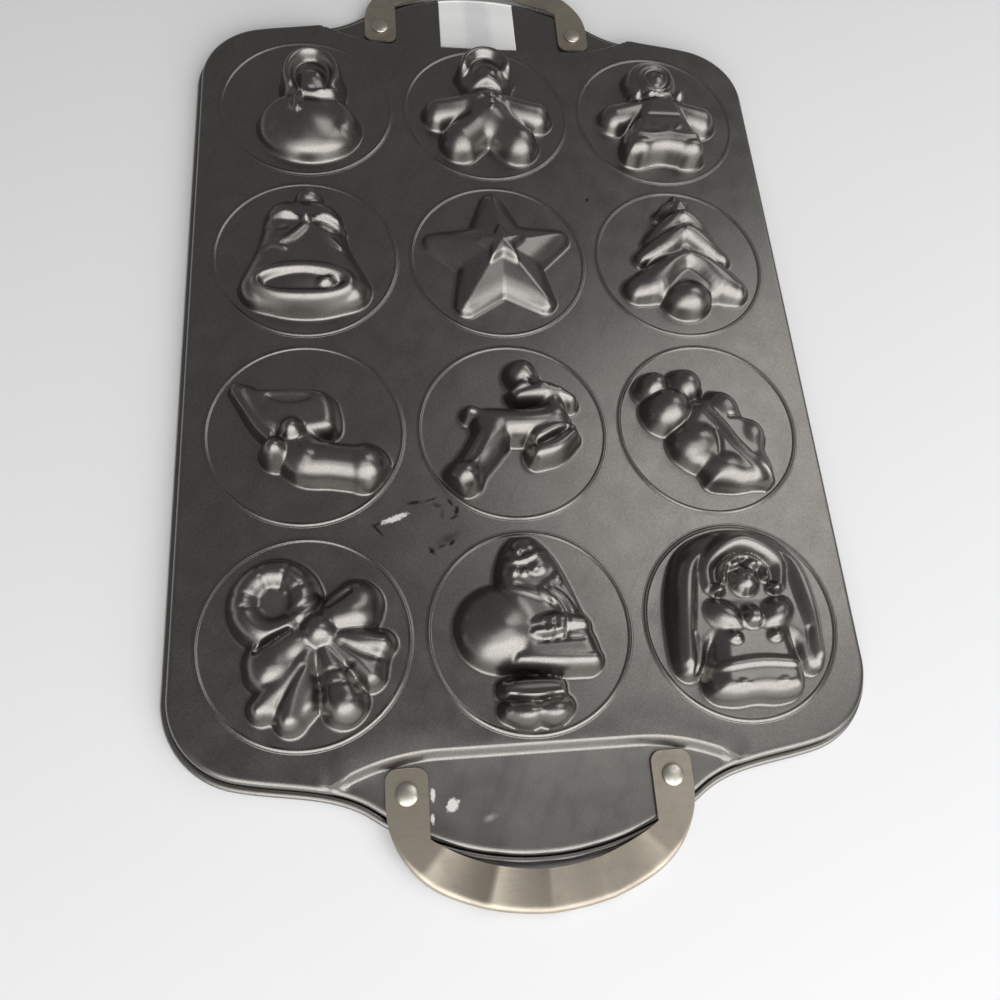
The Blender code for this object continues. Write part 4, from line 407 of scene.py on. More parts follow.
LEAPING_DEER_SHARES = (
    ("blend", 0.06),
    ("ball", 0.12, 0.61, 0.19, 0.185, 0, 0.3, 1),
    ("limb", ((0.18, 0.55, 0.08, 0.26), (0.26, 0.46, 0.08, 0.28)), 0.072),
    ("limb", (
        (0.06, 0.33, 0.1, 0.26), (0.3, 0.36, 0.15, 0.32), (0.46, 0.33, 0.13, 0.31),
        (0.62, 0.28, 0.1, 0.27)
    ), 0.14),
    ("limb", ((-0.02, 0.36, 0.045, 0.22), (0.1, 0.42, 0.07, 0.29), (0.16, 0.4, 0.05, 0.3)), 0.05),
    ("blend", 0.08),
    ("limb", ((0.42, 0.26, 0.13, 0.28), (0.42, 0.1, 0.16, 0.3)), 0.14),
    ("limb", ((-0.26, 0.02, 0.2, 0.3), (0.1, 0, 0.2, 0.32), (0.42, 0.04, 0.2, 0.31)), 0.2),
    ("limb", ((-0.32, 0.06, 0.09, 0.26), (-0.4, 0.12, 0.09, 0.26), (-0.47, 0.15, 0.09, 0.26)), 0.09),
    ("limb", (
        (-0.24, -0.1, 0.2, 0.31), (-0.36, -0.28, 0.18, 0.3), (-0.48, -0.44, 0.17, 0.28),
        (-0.56, -0.56, 0.18, 0.3)
    ), 0.18),
    ("ball", -0.57, -0.56, 0.2, 0.19, 0, 0.33, 1),
    ("fold", ((-0.36, -0.2, 0.03), (-0.46, -0.38, 0.035), (-0.56, -0.46, 0.03)), -0.035),
    ("blend", 0.04),
    ("limb", ((0.24, -0.16, 0.14, 0.31), (0.4, -0.09, 0.13, 0.31), (0.58, -0.08, 0.1, 0.29)), 0.13),
    ("limb", ((0.22, -0.34, 0.13, 0.29), (0.42, -0.28, 0.13, 0.3), (0.6, -0.14, 0.1, 0.29)), 0.12),
    ("fold", ((0.22, -0.27, 0.035), (0.38, -0.18, 0.035), (0.54, -0.09, 0.03)), -0.07),
    ("bump", 0.3, 0.4, 0.05, 0.045, 0, 0.035),
    ("bump", 0.5, 0.37, 0.05, 0.04, 0, 0.03),
)
HOLLY_SHARES = (
    ("blend", 0.07),
    ("slab", (
        (-0.18, 0.28), (0, 0.26), (0.08, 0.38), (0.22, 0.36), (0.32, 0.2), (0.36, 0.06), (0.52, 0),
        (0.6, -0.14), (0.54, -0.3), (0.58, -0.5), (0.62, -0.74), (0.42, -0.72), (0.18, -0.76),
        (-0.14, -0.72), (-0.12, -0.56), (-0.28, -0.5), (-0.44, -0.36), (-0.48, -0.2), (-0.4, -0.04)
    ), 0.03, 0.2, 0.26, 0, 0),
    ("ball", 0.15, 0.16, 0.22, 0.2, -40, 0.285, 0.9),
    ("ball", 0.4, -0.18, 0.18, 0.22, 0, 0.285, 0.9),
    ("ball", -0.2, -0.22, 0.28, 0.23, 8, 0.315, 1),
    ("ball", 0.06, -0.54, 0.27, 0.21, -8, 0.305, 1),
    ("ball", 0.44, -0.54, 0.16, 0.22, 12, 0.285, 0.9),
    ("fold", ((-0.02, -0.16, 0.03), (0, -0.3, 0.035), (-0.02, -0.44, 0.03)), -0.025),
    ("fold", ((0.16, 0.02, 0.03), (0.28, 0.03, 0.035), (0.4, 0.06, 0.03)), -0.03),
    ("fold", (
        (-0.12, 0.14, 0.045), (0.04, -0.08, 0.045), (0.2, -0.34, 0.045), (0.54, -0.74, 0.035)
    ), 0.085),
    ("blend", 0.02),
    ("ball", -0.24, 0.45, 0.22, 0.22, 0, 0.32, 1),
    ("ball", -0.6, 0.44, 0.2, 0.19, 0, 0.32, 1),
    ("ball", -0.47, 0.16, 0.28, 0.27, 0, 0.37, 1),
    ("ball", -0.14, 0.14, 0.05, 0.05, 0, 0.3, 1),
)
CANE_AND_BOW_SHARES = (
    ("blend", 0.05),
    ("ball", -0.27, 0.34, 0.24, 0.24, 0, 0.2, 0.4),
    ("arc", -0.27, 0.34, 0.27, 0.28, -25, 300, 0.175, 0.31),
    ("line", -0.407, 0.311, -0.681, 0.253, 0.028, -0.02),
    ("line", -0.405, 0.376, -0.676, 0.449, 0.028, -0.02),
    ("line", -0.322, 0.47, -0.427, 0.729, 0.028, -0.02),
    ("line", -0.218, 0.47, -0.113, 0.729, 0.028, -0.02),
    ("line", -0.146, 0.406, 0.101, 0.537, 0.028, -0.02),
    ("fold", ((-0.1, 0.22, 0.04), (0.02, 0.28, 0.045), (0.12, 0.36, 0.03)), -0.03),
    ("blend", 0.06),
    ("limb", ((0.18, 0.08, 0.13, 0.3), (0.34, 0.2, 0.22, 0.33), (0.5, 0.32, 0.24, 0.29)), 0.2),
    ("ball", 0.46, 0.22, 0.27, 0.24, 35, 0.32, 1),
    ("fold", ((0.24, 0.28, 0.03), (0.34, 0.35, 0.04), (0.44, 0.42, 0.03)), -0.07),
    ("limb", ((0.08, 0, 0.13, 0.3), (-0.12, -0.08, 0.22, 0.32), (-0.34, -0.2, 0.22, 0.28)), 0.2),
    ("ball", -0.26, -0.24, 0.3, 0.26, 30, 0.33, 1),
    ("fold", ((-0.42, -0.12, 0.03), (-0.26, -0.02, 0.045), (-0.12, 0.06, 0.03)), -0.09),
    ("slab", (
        (0.04, -0.1), (-0.16, -0.3), (-0.42, -0.6), (-0.34, -0.7), (-0.2, -0.74), (-0.1, -0.84),
        (0.02, -0.74), (0.14, -0.6), (0.12, -0.3)
    ), 0.03, 0.12, 0.23, 0, 0),
    ("slab", (
        (0.16, 0), (0.76, 0.02), (0.84, -0.08), (0.74, -0.22), (0.72, -0.4), (0.6, -0.5), (0.5, -0.4),
        (0.26, -0.16)
    ), 0.03, 0.12, 0.24, 0, 0),
    ("limb", ((0.05, -0.15, 0.14, 0.28), (-0.06, -0.45, 0.16, 0.29), (-0.12, -0.72, 0.15, 0.29)), 0.15),
    ("limb", ((0, -0.2, 0.12, 0.26), (-0.22, -0.45, 0.15, 0.27), (-0.38, -0.62, 0.13, 0.26)), 0.14),
    ("limb", ((0.25, -0.02, 0.13, 0.28), (0.5, -0.05, 0.16, 0.29), (0.72, -0.07, 0.13, 0.27)), 0.14),
    ("limb", ((0.25, -0.06, 0.12, 0.28), (0.46, -0.2, 0.15, 0.28), (0.62, -0.38, 0.13, 0.27)), 0.14),
    ("fold", ((0, -0.28, 0.03), (-0.14, -0.5, 0.035), (-0.27, -0.74, 0.03)), -0.03),
    ("fold", ((0.36, -0.08, 0.03), (0.54, -0.18, 0.035), (0.74, -0.24, 0.03)), -0.03),
    ("blend", 0.02),
    ("limb", ((0.2, -0.14, 0.14, 0.28), (0.3, -0.38, 0.17, 0.3), (0.37, -0.6, 0.2, 0.31)), 0.15),
    ("ball", 0.37, -0.61, 0.215, 0.215, 0, 0.33, 1),
    ("line", 0.16, -0.36, 0.44, -0.28, 0.025, -0.03),
    ("line", 0.17, -0.47, 0.52, -0.42, 0.025, -0.02),
    ("ball", 0.15, 0.05, 0.225, 0.215, 0, 0.4, 1),
)
GIFT_BRINGER_SHARES = (
    ("blend", 0.05),
    ("slab", (
        (-0.08, 0.92), (0.08, 0.9), (0.24, 0.74), (0.36, 0.48), (0.44, 0.25), (0.54, 0), (0.62, -0.2),
        (0.63, -0.36), (0.3, -0.42), (-0.16, -0.4), (-0.24, -0.1), (-0.3, 0.4), (-0.28, 0.62),
        (-0.2, 0.82)
    ), 0.03, 0.17, 0.29, 0, 0),
    ("limb", ((-0.06, 0.84, 0.1, 0.27), (0, 0.72, 0.15, 0.33), (0.08, 0.58, 0.16, 0.35)), 0.14),
    ("ball", -0.32, 0.02, 0.43, 0.42, 0, 0.33, 0.7),
    ("ball", -0.3, 0, 0.37, 0.37, 0, 0.39, 1),
    ("limb", ((-0.22, 0.36, 0.08, 0.28), (0, 0.32, 0.09, 0.33), (0.18, 0.22, 0.07, 0.34)), 0.08),
    ("fold", ((-0.16, 0.4, 0.025), (0.02, 0.32, 0.03), (0.16, 0.2, 0.025)), -0.03),
    ("blend", 0.03),
    ("limb", ((-0.16, -0.3, 0.12, 0.29), (0.2, -0.32, 0.14, 0.3), (0.54, -0.33, 0.14, 0.3)), 0.14),
    ("slab", ((-0.34, -0.5), (0.24, -0.5), (0.24, -0.66), (-0.34, -0.66)), 0.04, 0.1, 0.25, 0, 0),
    ("limb", ((-0.3, -0.62, 0.06, 0.27), (-0.05, -0.65, 0.065, 0.3), (0.22, -0.63, 0.06, 0.28)), 0.06),
    ("limb", ((-0.28, -0.77, 0.1, 0.24), (-0.12, -0.8, 0.135, 0.29), (0, -0.79, 0.1, 0.27)), 0.12),
    ("limb", ((0, -0.79, 0.1, 0.27), (0.14, -0.79, 0.14, 0.3), (0.24, -0.76, 0.11, 0.26)), 0.12),
    ("limb", ((-0.08, 0, 0.1, 0.33), (0.2, 0.02, 0.15, 0.37), (0.46, 0, 0.13, 0.33)), 0.14),
    ("limb", ((-0.02, -0.08, 0.07, 0.35), (0.12, -0.07, 0.085, 0.385), (0.26, -0.05, 0.07, 0.375)), 0.07),
    ("line", 0.08, -0.16, 0.09, 0.02, 0.02, -0.03),
    ("line", 0.18, -0.15, 0.19, 0.03, 0.02, -0.03),
    ("line", 0.29, -0.14, 0.31, 0.06, 0.025, -0.035),
    ("line", 0, -0.16, 0.46, -0.15, 0.025, -0.02),
    ("fold", ((-0.24, 0.62, 0.03), (-0.04, 0.64, 0.035), (0.2, 0.74, 0.03)), 0.04),
    ("fold", ((-0.24, 0.7, 0.02), (-0.04, 0.71, 0.025), (0.16, 0.8, 0.02)), -0.03),
    ("bump", -0.27, 0.55, 0.055, 0.05, 0, 0.05),
    ("bump", -0.17, 0.52, 0.055, 0.05, 0, 0.05),
    ("bump", -0.07, 0.51, 0.055, 0.05, 0, 0.05),
    ("bump", 0.03, 0.53, 0.055, 0.05, 0, 0.05),
    ("bump", -0.12, 0.72, 0.05, 0.05, 0, 0.05),
    ("bump", 0.27, 0.46, 0.07, 0.055, 0, 0.045),
    ("bump", 0.18, 0.4, 0.1, 0.05, 20, 0.03),
    ("fold", ((0.18, 0.34, 0.03), (0.3, 0.24, 0.035), (0.38, 0.12, 0.03)), 0.045),
    ("fold", ((0.3, 0.38, 0.025), (0.4, 0.26, 0.03), (0.46, 0.14, 0.025)), 0.045),
    ("fold", ((0.08, 0.34, 0.025), (0.21, 0.22, 0.03), (0.27, 0.12, 0.025)), 0.045),
)
ANGEL_SHARES = (
    ("blend", 0.04),
    ("even_slab", (
        (0, 0.9), (0.34, 0.86), (0.62, 0.62), (0.71, 0.2), (0.75, -0.3), (0.7, -0.54), (0.56, -0.5),
        (0.46, -0.2), (0, -0.1)
    ), 0.06, 0.15, 0.22, 0, 0),
    ("both", "limb", (
        (-0.3, 0.72, 0.1, 0.24), (-0.54, 0.52, 0.14, 0.29), (-0.64, 0.1, 0.15, 0.3),
        (-0.68, -0.4, 0.11, 0.26)
    ), 0.14),
    ("both", "fold", ((-0.6, -0.16, 0.025), (-0.58, -0.34, 0.03), (-0.62, -0.52, 0.025)), -0.03),
    ("limb", (
        (-0.38, 0.3, 0.1, 0.3), (-0.36, 0.56, 0.13, 0.35), (0, 0.76, 0.15, 0.385),
        (0.36, 0.56, 0.13, 0.35), (0.38, 0.3, 0.1, 0.3)
    ), 0.15),
    ("even_slab", (
        (0, 0.24), (0.28, 0.18), (0.42, -0.02), (0.4, -0.3), (0.48, -0.6), (0.44, -0.76), (0.22, -0.8),
        (0, -0.77)
    ), 0.05, 0.2, 0.255, 0, -0.09),
    ("blend", 0.055),
    ("both", "ball", -0.26, 0, 0.28, 0.18, -36, 0.365, 0.9),
    ("both", "ball", -0.21, -0.22, 0.13, 0.1, -20, 0.345, 0.9),
    ("blend", 0.03),
    ("ball", 0, -0.03, 0.14, 0.15, 0, 0.405, 0.8),
    ("line", 0, 0.08, 0, -0.14, 0.02, -0.02),
    ("arc", 0, 0.4, 0.23, 0.19, -10, 190, 0.06, 0.33),
    ("ball", 0, 0.35, 0.19, 0.21, 0, 0.35, 0.8),
    ("both", "ball", -0.09, 0.51, 0.11, 0.07, 14, 0.365, 1),
    ("both", "ball", -0.3, 0.26, 0.1, 0.09, 0, 0.36, 1),
    ("both", "bump", -0.075, 0.39, 0.045, 0.04, 0, 0.02),
    ("bump", 0, 0.34, 0.045, 0.05, 0, 0.025),
    ("bend", 0, 0.29, 0.08, 0.06, 210, 330, 0.022, -0.015),
    ("fold", ((-0.42, -0.5, 0.055), (0, -0.46, 0.06), (0.42, -0.5, 0.055)), 0.04),
    ("both", "ball", -0.21, -0.66, 0.2, 0.085, 3, 0.34, 1),
)
MOULDS = {
    "snow_figure_mould": SNOW_FIGURE_SHARES,
    "biscuit_boy_mould": BISCUIT_BOY_SHARES,
    "biscuit_girl_mould": BISCUIT_GIRL_SHARES,
    "bell_mould": BELL_SHARES,
    "star_mould": STAR_SHARES,
    "fir_tree_mould": FIR_TREE_SHARES,
    "stocking_mould": STOCKING_SHARES,
    "leaping_deer_mould": LEAPING_DEER_SHARES,
    "holly_mould": HOLLY_SHARES,
    "cane_and_bow_mould": CANE_AND_BOW_SHARES,
    "gift_bringer_mould": GIFT_BRINGER_SHARES,
    "angel_mould": ANGEL_SHARES,
}
RAISED_KINDS = ("ball", "arc", "limb", "slab", "even_slab", "star")


class PanSizes(bpy.types.PropertyGroup):
    """Sizes that change how the pressed metal looks without changing its outline."""

    sheet: FloatProperty(
        name="Sheet", description="Thickness of the pressed sheet", default=0.0006, min=0.0003, max=0.0012,
        unit="LENGTH", precision=4,
    )
    flute_depth: FloatProperty(
        name="Flute depth", description="Depth of the finger flutes in the handles", default=0.0013, min=0,
        max=0.0016, unit="LENGTH", precision=4,
    )
    head_height: FloatProperty(
        name="Rivet dome", description="Height of a rivet's domed head", default=0.0016, min=0.0005,
        max=0.0025, unit="LENGTH", precision=4,
    )
    label_lift: FloatProperty(
        name="Label lift", description="How far the label's near corners lift off the ledge",
        default=0.0002, min=0, max=0.0005, unit="LENGTH", precision=4,
    )


class PanFinish(bpy.types.PropertyGroup):
    """Colours and levels of the finishes and of the stage."""

    coat: FloatVectorProperty(
        name="Coat", description="Colour of the dark release coat", default=(0.2, 0.191, 0.178), min=0,
        max=1, subtype="COLOR",
    )
    plate: FloatVectorProperty(
        name="Handle plate", description="Colour of the plate on the handles", default=(0.42, 0.37, 0.3),
        min=0, max=1, subtype="COLOR",
    )
    rivet: FloatVectorProperty(
        name="Rivet plate", description="Colour of the plate on the rivets", default=(0.64, 0.6, 0.53),
        min=0, max=1, subtype="COLOR",
    )
    paper: FloatVectorProperty(
        name="Paper", description="Colour of the label", default=(0.94, 0.935, 0.92), min=0, max=1,
        subtype="COLOR",
    )
    floor: FloatVectorProperty(
        name="Floor", description="Colour of the table", default=(0.9, 0.9, 0.91), min=0, max=1,
        subtype="COLOR",
    )
    coat_roughness: FloatProperty(
        name="Coat roughness", description="How widely the coat spreads a highlight", default=0.32, min=0.1,
        max=0.9, subtype="FACTOR",
    )
    front_power: FloatProperty(
        name="Front light", description="Power of the low lamp at the near end", default=23, min=0, max=100,
        unit="POWER",
    )
    top_power: FloatProperty(
        name="Top light", description="Power of the high lamp over the near end", default=4.4, min=0,
        max=100, unit="POWER",
    )
    side_power: FloatProperty(
        name="Side light", description="Power of the small lamp at the right", default=2.1, min=0, max=100,
        unit="POWER",
    )
    world_level: FloatProperty(
        name="World level", description="Brightness of the plain surroundings", default=0.18, min=0, max=2,
    )


# Relief of one mould.


def smooth_union(one, other, blend):
    """The higher of two heights, with the valley between them filled over a width of blend."""
    near = np.clip(1 - np.abs(one - other) / blend, 0, None)
    raised = np.clip(np.minimum(one, other) / blend, 0, 1)
    return np.maximum(one, other) + blend / 4 * near**2 * raised


def shoulder_rise(depth, shoulder, height):
    """Height over a depth inside an outline: a concave foot outside it and a convex shoulder inside it."""
    foot = MOULD_FOOT / RING_RADIUS
    outside = np.clip((depth + foot) / foot, 0, 1)
    inside = 1 - np.clip(depth / shoulder, 0, 1)
    rounded_top = (height - foot) * (1 - inside**SHOULDER_POWER_SHARE) ** (1 / SHOULDER_POWER_SHARE)
    return np.where(depth > 0, foot + rounded_top, foot * (1 - np.sqrt(1 - outside**2)))


def oval_depth(x, y, middle_x, middle_y, radius_x, radius_y, turn):
    """Depth inside a turned oval, negative outside it."""
    along = (x - middle_x) * cos(radians(turn)) + (y - middle_y) * sin(radians(turn))
    across = (y - middle_y) * cos(radians(turn)) - (x - middle_x) * sin(radians(turn))
    reach = np.hypot(along / radius_x, across / radius_y)
    slope = np.hypot(along / radius_x**2, across / radius_y**2) + np.finfo(float).eps
    return np.where(reach > 1, (1 - reach) * reach / slope, (1 - reach) * min(radius_x, radius_y))


def limb_depth(x, y, stops):
    """Depth inside a tube through stops of place, radius and height, and the tube's height there."""
    depth = np.full(x.shape, -np.inf)
    height = np.zeros(x.shape)
    for (x0, y0, radius0, height0), (x1, y1, radius1, height1) in zip(stops[:-1], stops[1:]):
        run_x, run_y = x1 - x0, y1 - y0
        part = np.clip(((x - x0) * run_x + (y - y0) * run_y) / (run_x**2 + run_y**2), 0, 1)
        away = np.hypot(x - x0 - part * run_x, y - y0 - part * run_y)
        here = radius0 + (radius1 - radius0) * part - away
        height = np.where(here > depth, height0 + (height1 - height0) * part, height)
        depth = np.maximum(depth, here)
    return depth, height


def arc_stops(middle_x, middle_y, radius_x, radius_y, start, end, width, height):
    """Stops along an oval arc, about evenly spread."""
    count = max(ARC_LEAST_POINTS, int(abs(end - start) / ARC_DEGREES) + 1)
    angles = np.radians(np.linspace(start, end, count))
    x = middle_x + radius_x * np.cos(angles)
    y = middle_y + radius_y * np.sin(angles)
    return np.c_[x, y, np.full(count, width), np.full(count, height)]


def eased_stops(stops):
    """Stops of a smooth curve through the given ones, with some more between each two."""
    stops = np.array(stops, float)
    before = np.vstack([2 * stops[0] - stops[1], stops[:-1]])[:-1]
    start, end = stops[:-1], stops[1:]
    after = np.vstack([stops[2:], 2 * stops[-1] - stops[-2]])
    part = (np.arange(LIMB_STEPS) / LIMB_STEPS)[None, :, None]
    leave = (end - before)[:, None] / 2
    arrive = (after - start)[:, None] / 2
    eased = smooth_step(part)
    curve = start[:, None] * (1 - eased) + end[:, None] * eased
    curve = curve + leave * part * (1 - part) ** 2 - arrive * part * part * (1 - part)
    return np.vstack([curve.reshape(-1, stops.shape[1]), stops[-1:]])


def both_halves(half):
    """A closed outline from its right half, which begins and ends on the line between the halves."""
    return (*half, *((-x, y) for x, y in half[-2:0:-1]))


def cut_corners(outline):
    """An outline rounded by cutting off its corners, a few times over."""
    outline = np.asarray(outline, float)
    for _ in range(CORNER_CUTS):
        following = np.roll(outline, -1, axis=0)
        near = outline + CORNER_CUT_SHARE * (following - outline)
        far = following - CORNER_CUT_SHARE * (following - outline)
        outline = np.stack([near, far], axis=1).reshape(-1, 2)
    return outline


def outline_depth(x, y, outline, corner):
    """Depth inside a closed outline that is grown by a corner radius."""
    away = np.full(x.shape, np.inf)
    is_inside = np.zeros(x.shape, bool)
    for (x0, y0), (x1, y1) in zip(outline, np.roll(outline, -1, axis=0)):
        run_x, run_y = x1 - x0, y1 - y0
        part = np.clip(((x - x0) * run_x + (y - y0) * run_y) / (run_x**2 + run_y**2), 0, 1)
        away = np.minimum(away, np.hypot(x - x0 - part * run_x, y - y0 - part * run_y))
        if y0 != y1:
            is_inside ^= ((y0 > y) != (y1 > y)) & (x < x0 + (y - y0) * run_x / run_y)
    return np.where(is_inside, away, -away) + corner


def star_rise(x, y, middle_x, middle_y, tip, notch, corner, wall, shoulder, apex, lean):
    """A leaning five-pointed star with a steep wall and flat facets that climb to its middle."""
    corners = np.arange(2 * STAR_POINTS)
    half_turn = pi / STAR_POINTS
    first = pi / 2 + radians(lean)
    angles = first + half_turn * corners
    radii = np.where(corners % 2 == 0, tip, notch)
    outline = np.c_[middle_x + radii * np.cos(angles), middle_y + radii * np.sin(angles)]
    depth = outline_depth(x, y, outline, corner)
    turn = (np.arctan2(y - middle_y, x - middle_x) - first) % (2 * half_turn)
    turn = np.where(turn > half_turn, 2 * half_turn - turn, turn)
    away = np.hypot(x - middle_x, y - middle_y)
    notch_x = (notch + corner) * cos(half_turn)
    notch_y = (notch + corner) * sin(half_turn)
    edge = np.hypot(notch_x - tip - corner, notch_y)
    to_edge = notch_y * (tip + corner - away * np.cos(turn))
    to_edge = to_edge + (notch_x - tip - corner) * away * np.sin(turn)
    climb = np.clip(to_edge / edge / (notch_y * (tip + corner) / edge), 0, 1)
    return shoulder_rise(depth, shoulder, wall) + np.where(depth > 0, (apex - wall) * climb, 0)


def smooth_step(share):
    """Zero up to a share of zero, one from a share of one, and 3s*s - 2s*s*s between them."""
    share = np.clip(share, 0, 1)
    return share * share * (3 - 2 * share)


def spot_amount(depth, width, heights):
    """A soft spot that fades out where there is no mould under it."""
    return np.sin(pi / 2 * np.clip(depth / width, 0, 1)) * np.clip(heights / FADE_SHARE, 0, 1)


def raised_lump(x, y, kind, values):
    """Height of a row of a mould's table that stands on the deck by itself."""
    if kind == "ball":
        *oval, height, shoulder = values
        depth = oval_depth(x, y, *oval)
        return shoulder_rise(depth, shoulder * min(oval[2], oval[3]), height)
    if kind == "arc":
        depth, height = limb_depth(x, y, arc_stops(*values))
        return shoulder_rise(depth, values[-2], height)
    if kind == "limb":
        stops, shoulder = values
        depth, height = limb_depth(x, y, eased_stops(stops))
        return shoulder_rise(depth, shoulder, height)
    if kind in ("slab", "even_slab"):
        outline, corner, shoulder, height, slope_x, slope_y = values
        if kind == "even_slab":
            outline = both_halves(outline)
        depth = outline_depth(x, y, cut_corners(outline), corner)
        return shoulder_rise(depth, shoulder, height + slope_x * x + slope_y * y)
    return star_rise(x, y, *values)


def added_spot(x, y, kind, values, heights):
    """Height that a row of a mould's table adds to the relief under it."""
    if kind == "bump":
        *oval, amount = values
        return amount * spot_amount(oval_depth(x, y, *oval), min(oval[2], oval[3]), heights)
    if kind == "line":
        x0, y0, x1, y1, width, amount = values
        depth, _ = limb_depth(x, y, ((x0, y0, width, 0), (x1, y1, width, 0)))
        return amount * spot_amount(depth, width, heights)
    if kind == "bend":
        *arc, width, amount = values
        depth, _ = limb_depth(x, y, arc_stops(*arc, width, 0))
        return amount * spot_amount(depth, width, heights)
    if kind == "fold":
        stops, amount = values
        depth, width = limb_depth(x, y, eased_stops([(a, b, c, c) for a, b, c in stops]))
        return amount * spot_amount(depth, width, heights)
    outline, corner, shoulder, amount = values
    depth = outline_depth(x, y, cut_corners(outline), corner)
    return amount * spot_amount(depth, shoulder, heights)


def mould_heights(rows, x, y):
    """Heights of one mould, row after row, in shares of the ring radius as its places are."""
    heights = np.zeros(x.shape)
    for kind, *values in rows:
        sides = (1,)
        if kind == "both":
            kind, *values = values
            sides = (1, -1)
        for side in sides:
            if kind == "blend":
                blend = values[0]
            elif kind in RAISED_KINDS:
                heights = smooth_union(heights, raised_lump(side * x, y, kind, values), blend)
            else:
                heights = heights + added_spot(side * x, y, kind, values, heights)
    return heights


def blurred(heights, cells):
    """Heights averaged along both directions of their grid under a bell curve that many cells wide."""
    reach = int(BLUR_REACH_SHARE * cells) + 1
    weights = np.exp(-((np.arange(-reach, reach + 1) / cells) ** 2) / 2)
    weights /= weights.sum()
    for axis in (0, 1):
        padding = [(0, 0), (0, 0)]
        padding[axis] = (reach, reach)
        padded = np.pad(heights, padding, mode="edge")
        size = heights.shape[axis]
        windows = [np.take(padded, range(start, start + size), axis) for start in range(2 * reach + 1)]
        heights = np.tensordot(weights, windows, 1)
    return heights


def mould_centres():
    """Middle of each mould, left to right along each row, from the far row to the near row."""
    return [
        ((column - (COLUMNS - 1) / 2) * COLUMN_PITCH, ((ROWS - 1) / 2 - row) * ROW_PITCH)
        for row in range(ROWS)
        for column in range(COLUMNS)
    ]


# Meshes from arrays.


def grid_faces(rows, columns, first=0, is_ring=False):
    """Four-sided faces between the neighbours in a grid. A ring joins its last column to its first."""
    index = first + np.arange(rows * columns).reshape(rows, columns)
    if is_ring:
        index = np.c_[index, index[:, :1]]
    near, far = index[:-1], index[1:]
    return np.stack([near[:, :-1], near[:, 1:], far[:, 1:], far[:, :-1]], axis=-1).reshape(-1, 4)


def mesh_from(name, points, *face_sets):
    """A smooth shaded mesh from points and from arrays of faces, each with its own number of corners."""
    mesh = bpy.data.meshes.new(name)
    corners = np.concatenate([faces.reshape(-1) for faces in face_sets])
    sizes = np.concatenate([np.full(len(faces), faces.shape[1]) for faces in face_sets])
    mesh.vertices.add(len(points))
    mesh.vertices.foreach_set("co", np.ascontiguousarray(points, np.float32).reshape(-1))
    mesh.loops.add(len(corners))
    mesh.loops.foreach_set("vertex_index", corners.astype(np.int32))
    mesh.polygons.add(len(sizes))
    mesh.polygons.foreach_set("loop_start", (np.cumsum(sizes) - sizes).astype(np.int32))
    mesh.update(calc_edges=True)
    mesh.validate()
    mesh.shade_smooth()
    mesh.set_sharp_from_angle(angle=radians(SHARP_ANGLE))
    return mesh


def in_scene(name, data):
    """An object in the scene from its mesh, lamp or camera."""
    obj = bpy.data.objects.new(name, data)
    bpy.context.scene.collection.objects.link(obj)
    return obj


def piece(name, mesh, surface, slot, *replaced):
    """A piece of the pan in the scene, riding on its one body."""
    mesh.materials.append(surface)
    obj = in_scene(name, mesh)
    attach(obj, BODY)
    if replaced:
        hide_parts(*replaced)
    return obj


def thicken(obj, thickness):
    """Gives a surface its thickness below the side that shows."""
    solid = obj.modifiers.new("thickness", "SOLIDIFY")
    solid.thickness = thickness
    solid.offset = -1
    solid.use_rim = True


def round_edges(obj):
    """Merges a plate's points that fall together, as where it has no lip, and rounds its edges."""
    weld = obj.modifiers.new("merged points", "WELD")
    weld.merge_threshold = POINT_MERGE
    bevel = obj.modifiers.new("rounded edges", "BEVEL")
    bevel.width = EDGE_ROUND
    bevel.segments = EDGE_ROUND_SEGMENTS
    bevel.limit_method = "ANGLE"
    bevel.angle_limit = radians(SHARP_ANGLE)


# Pressed sheet.


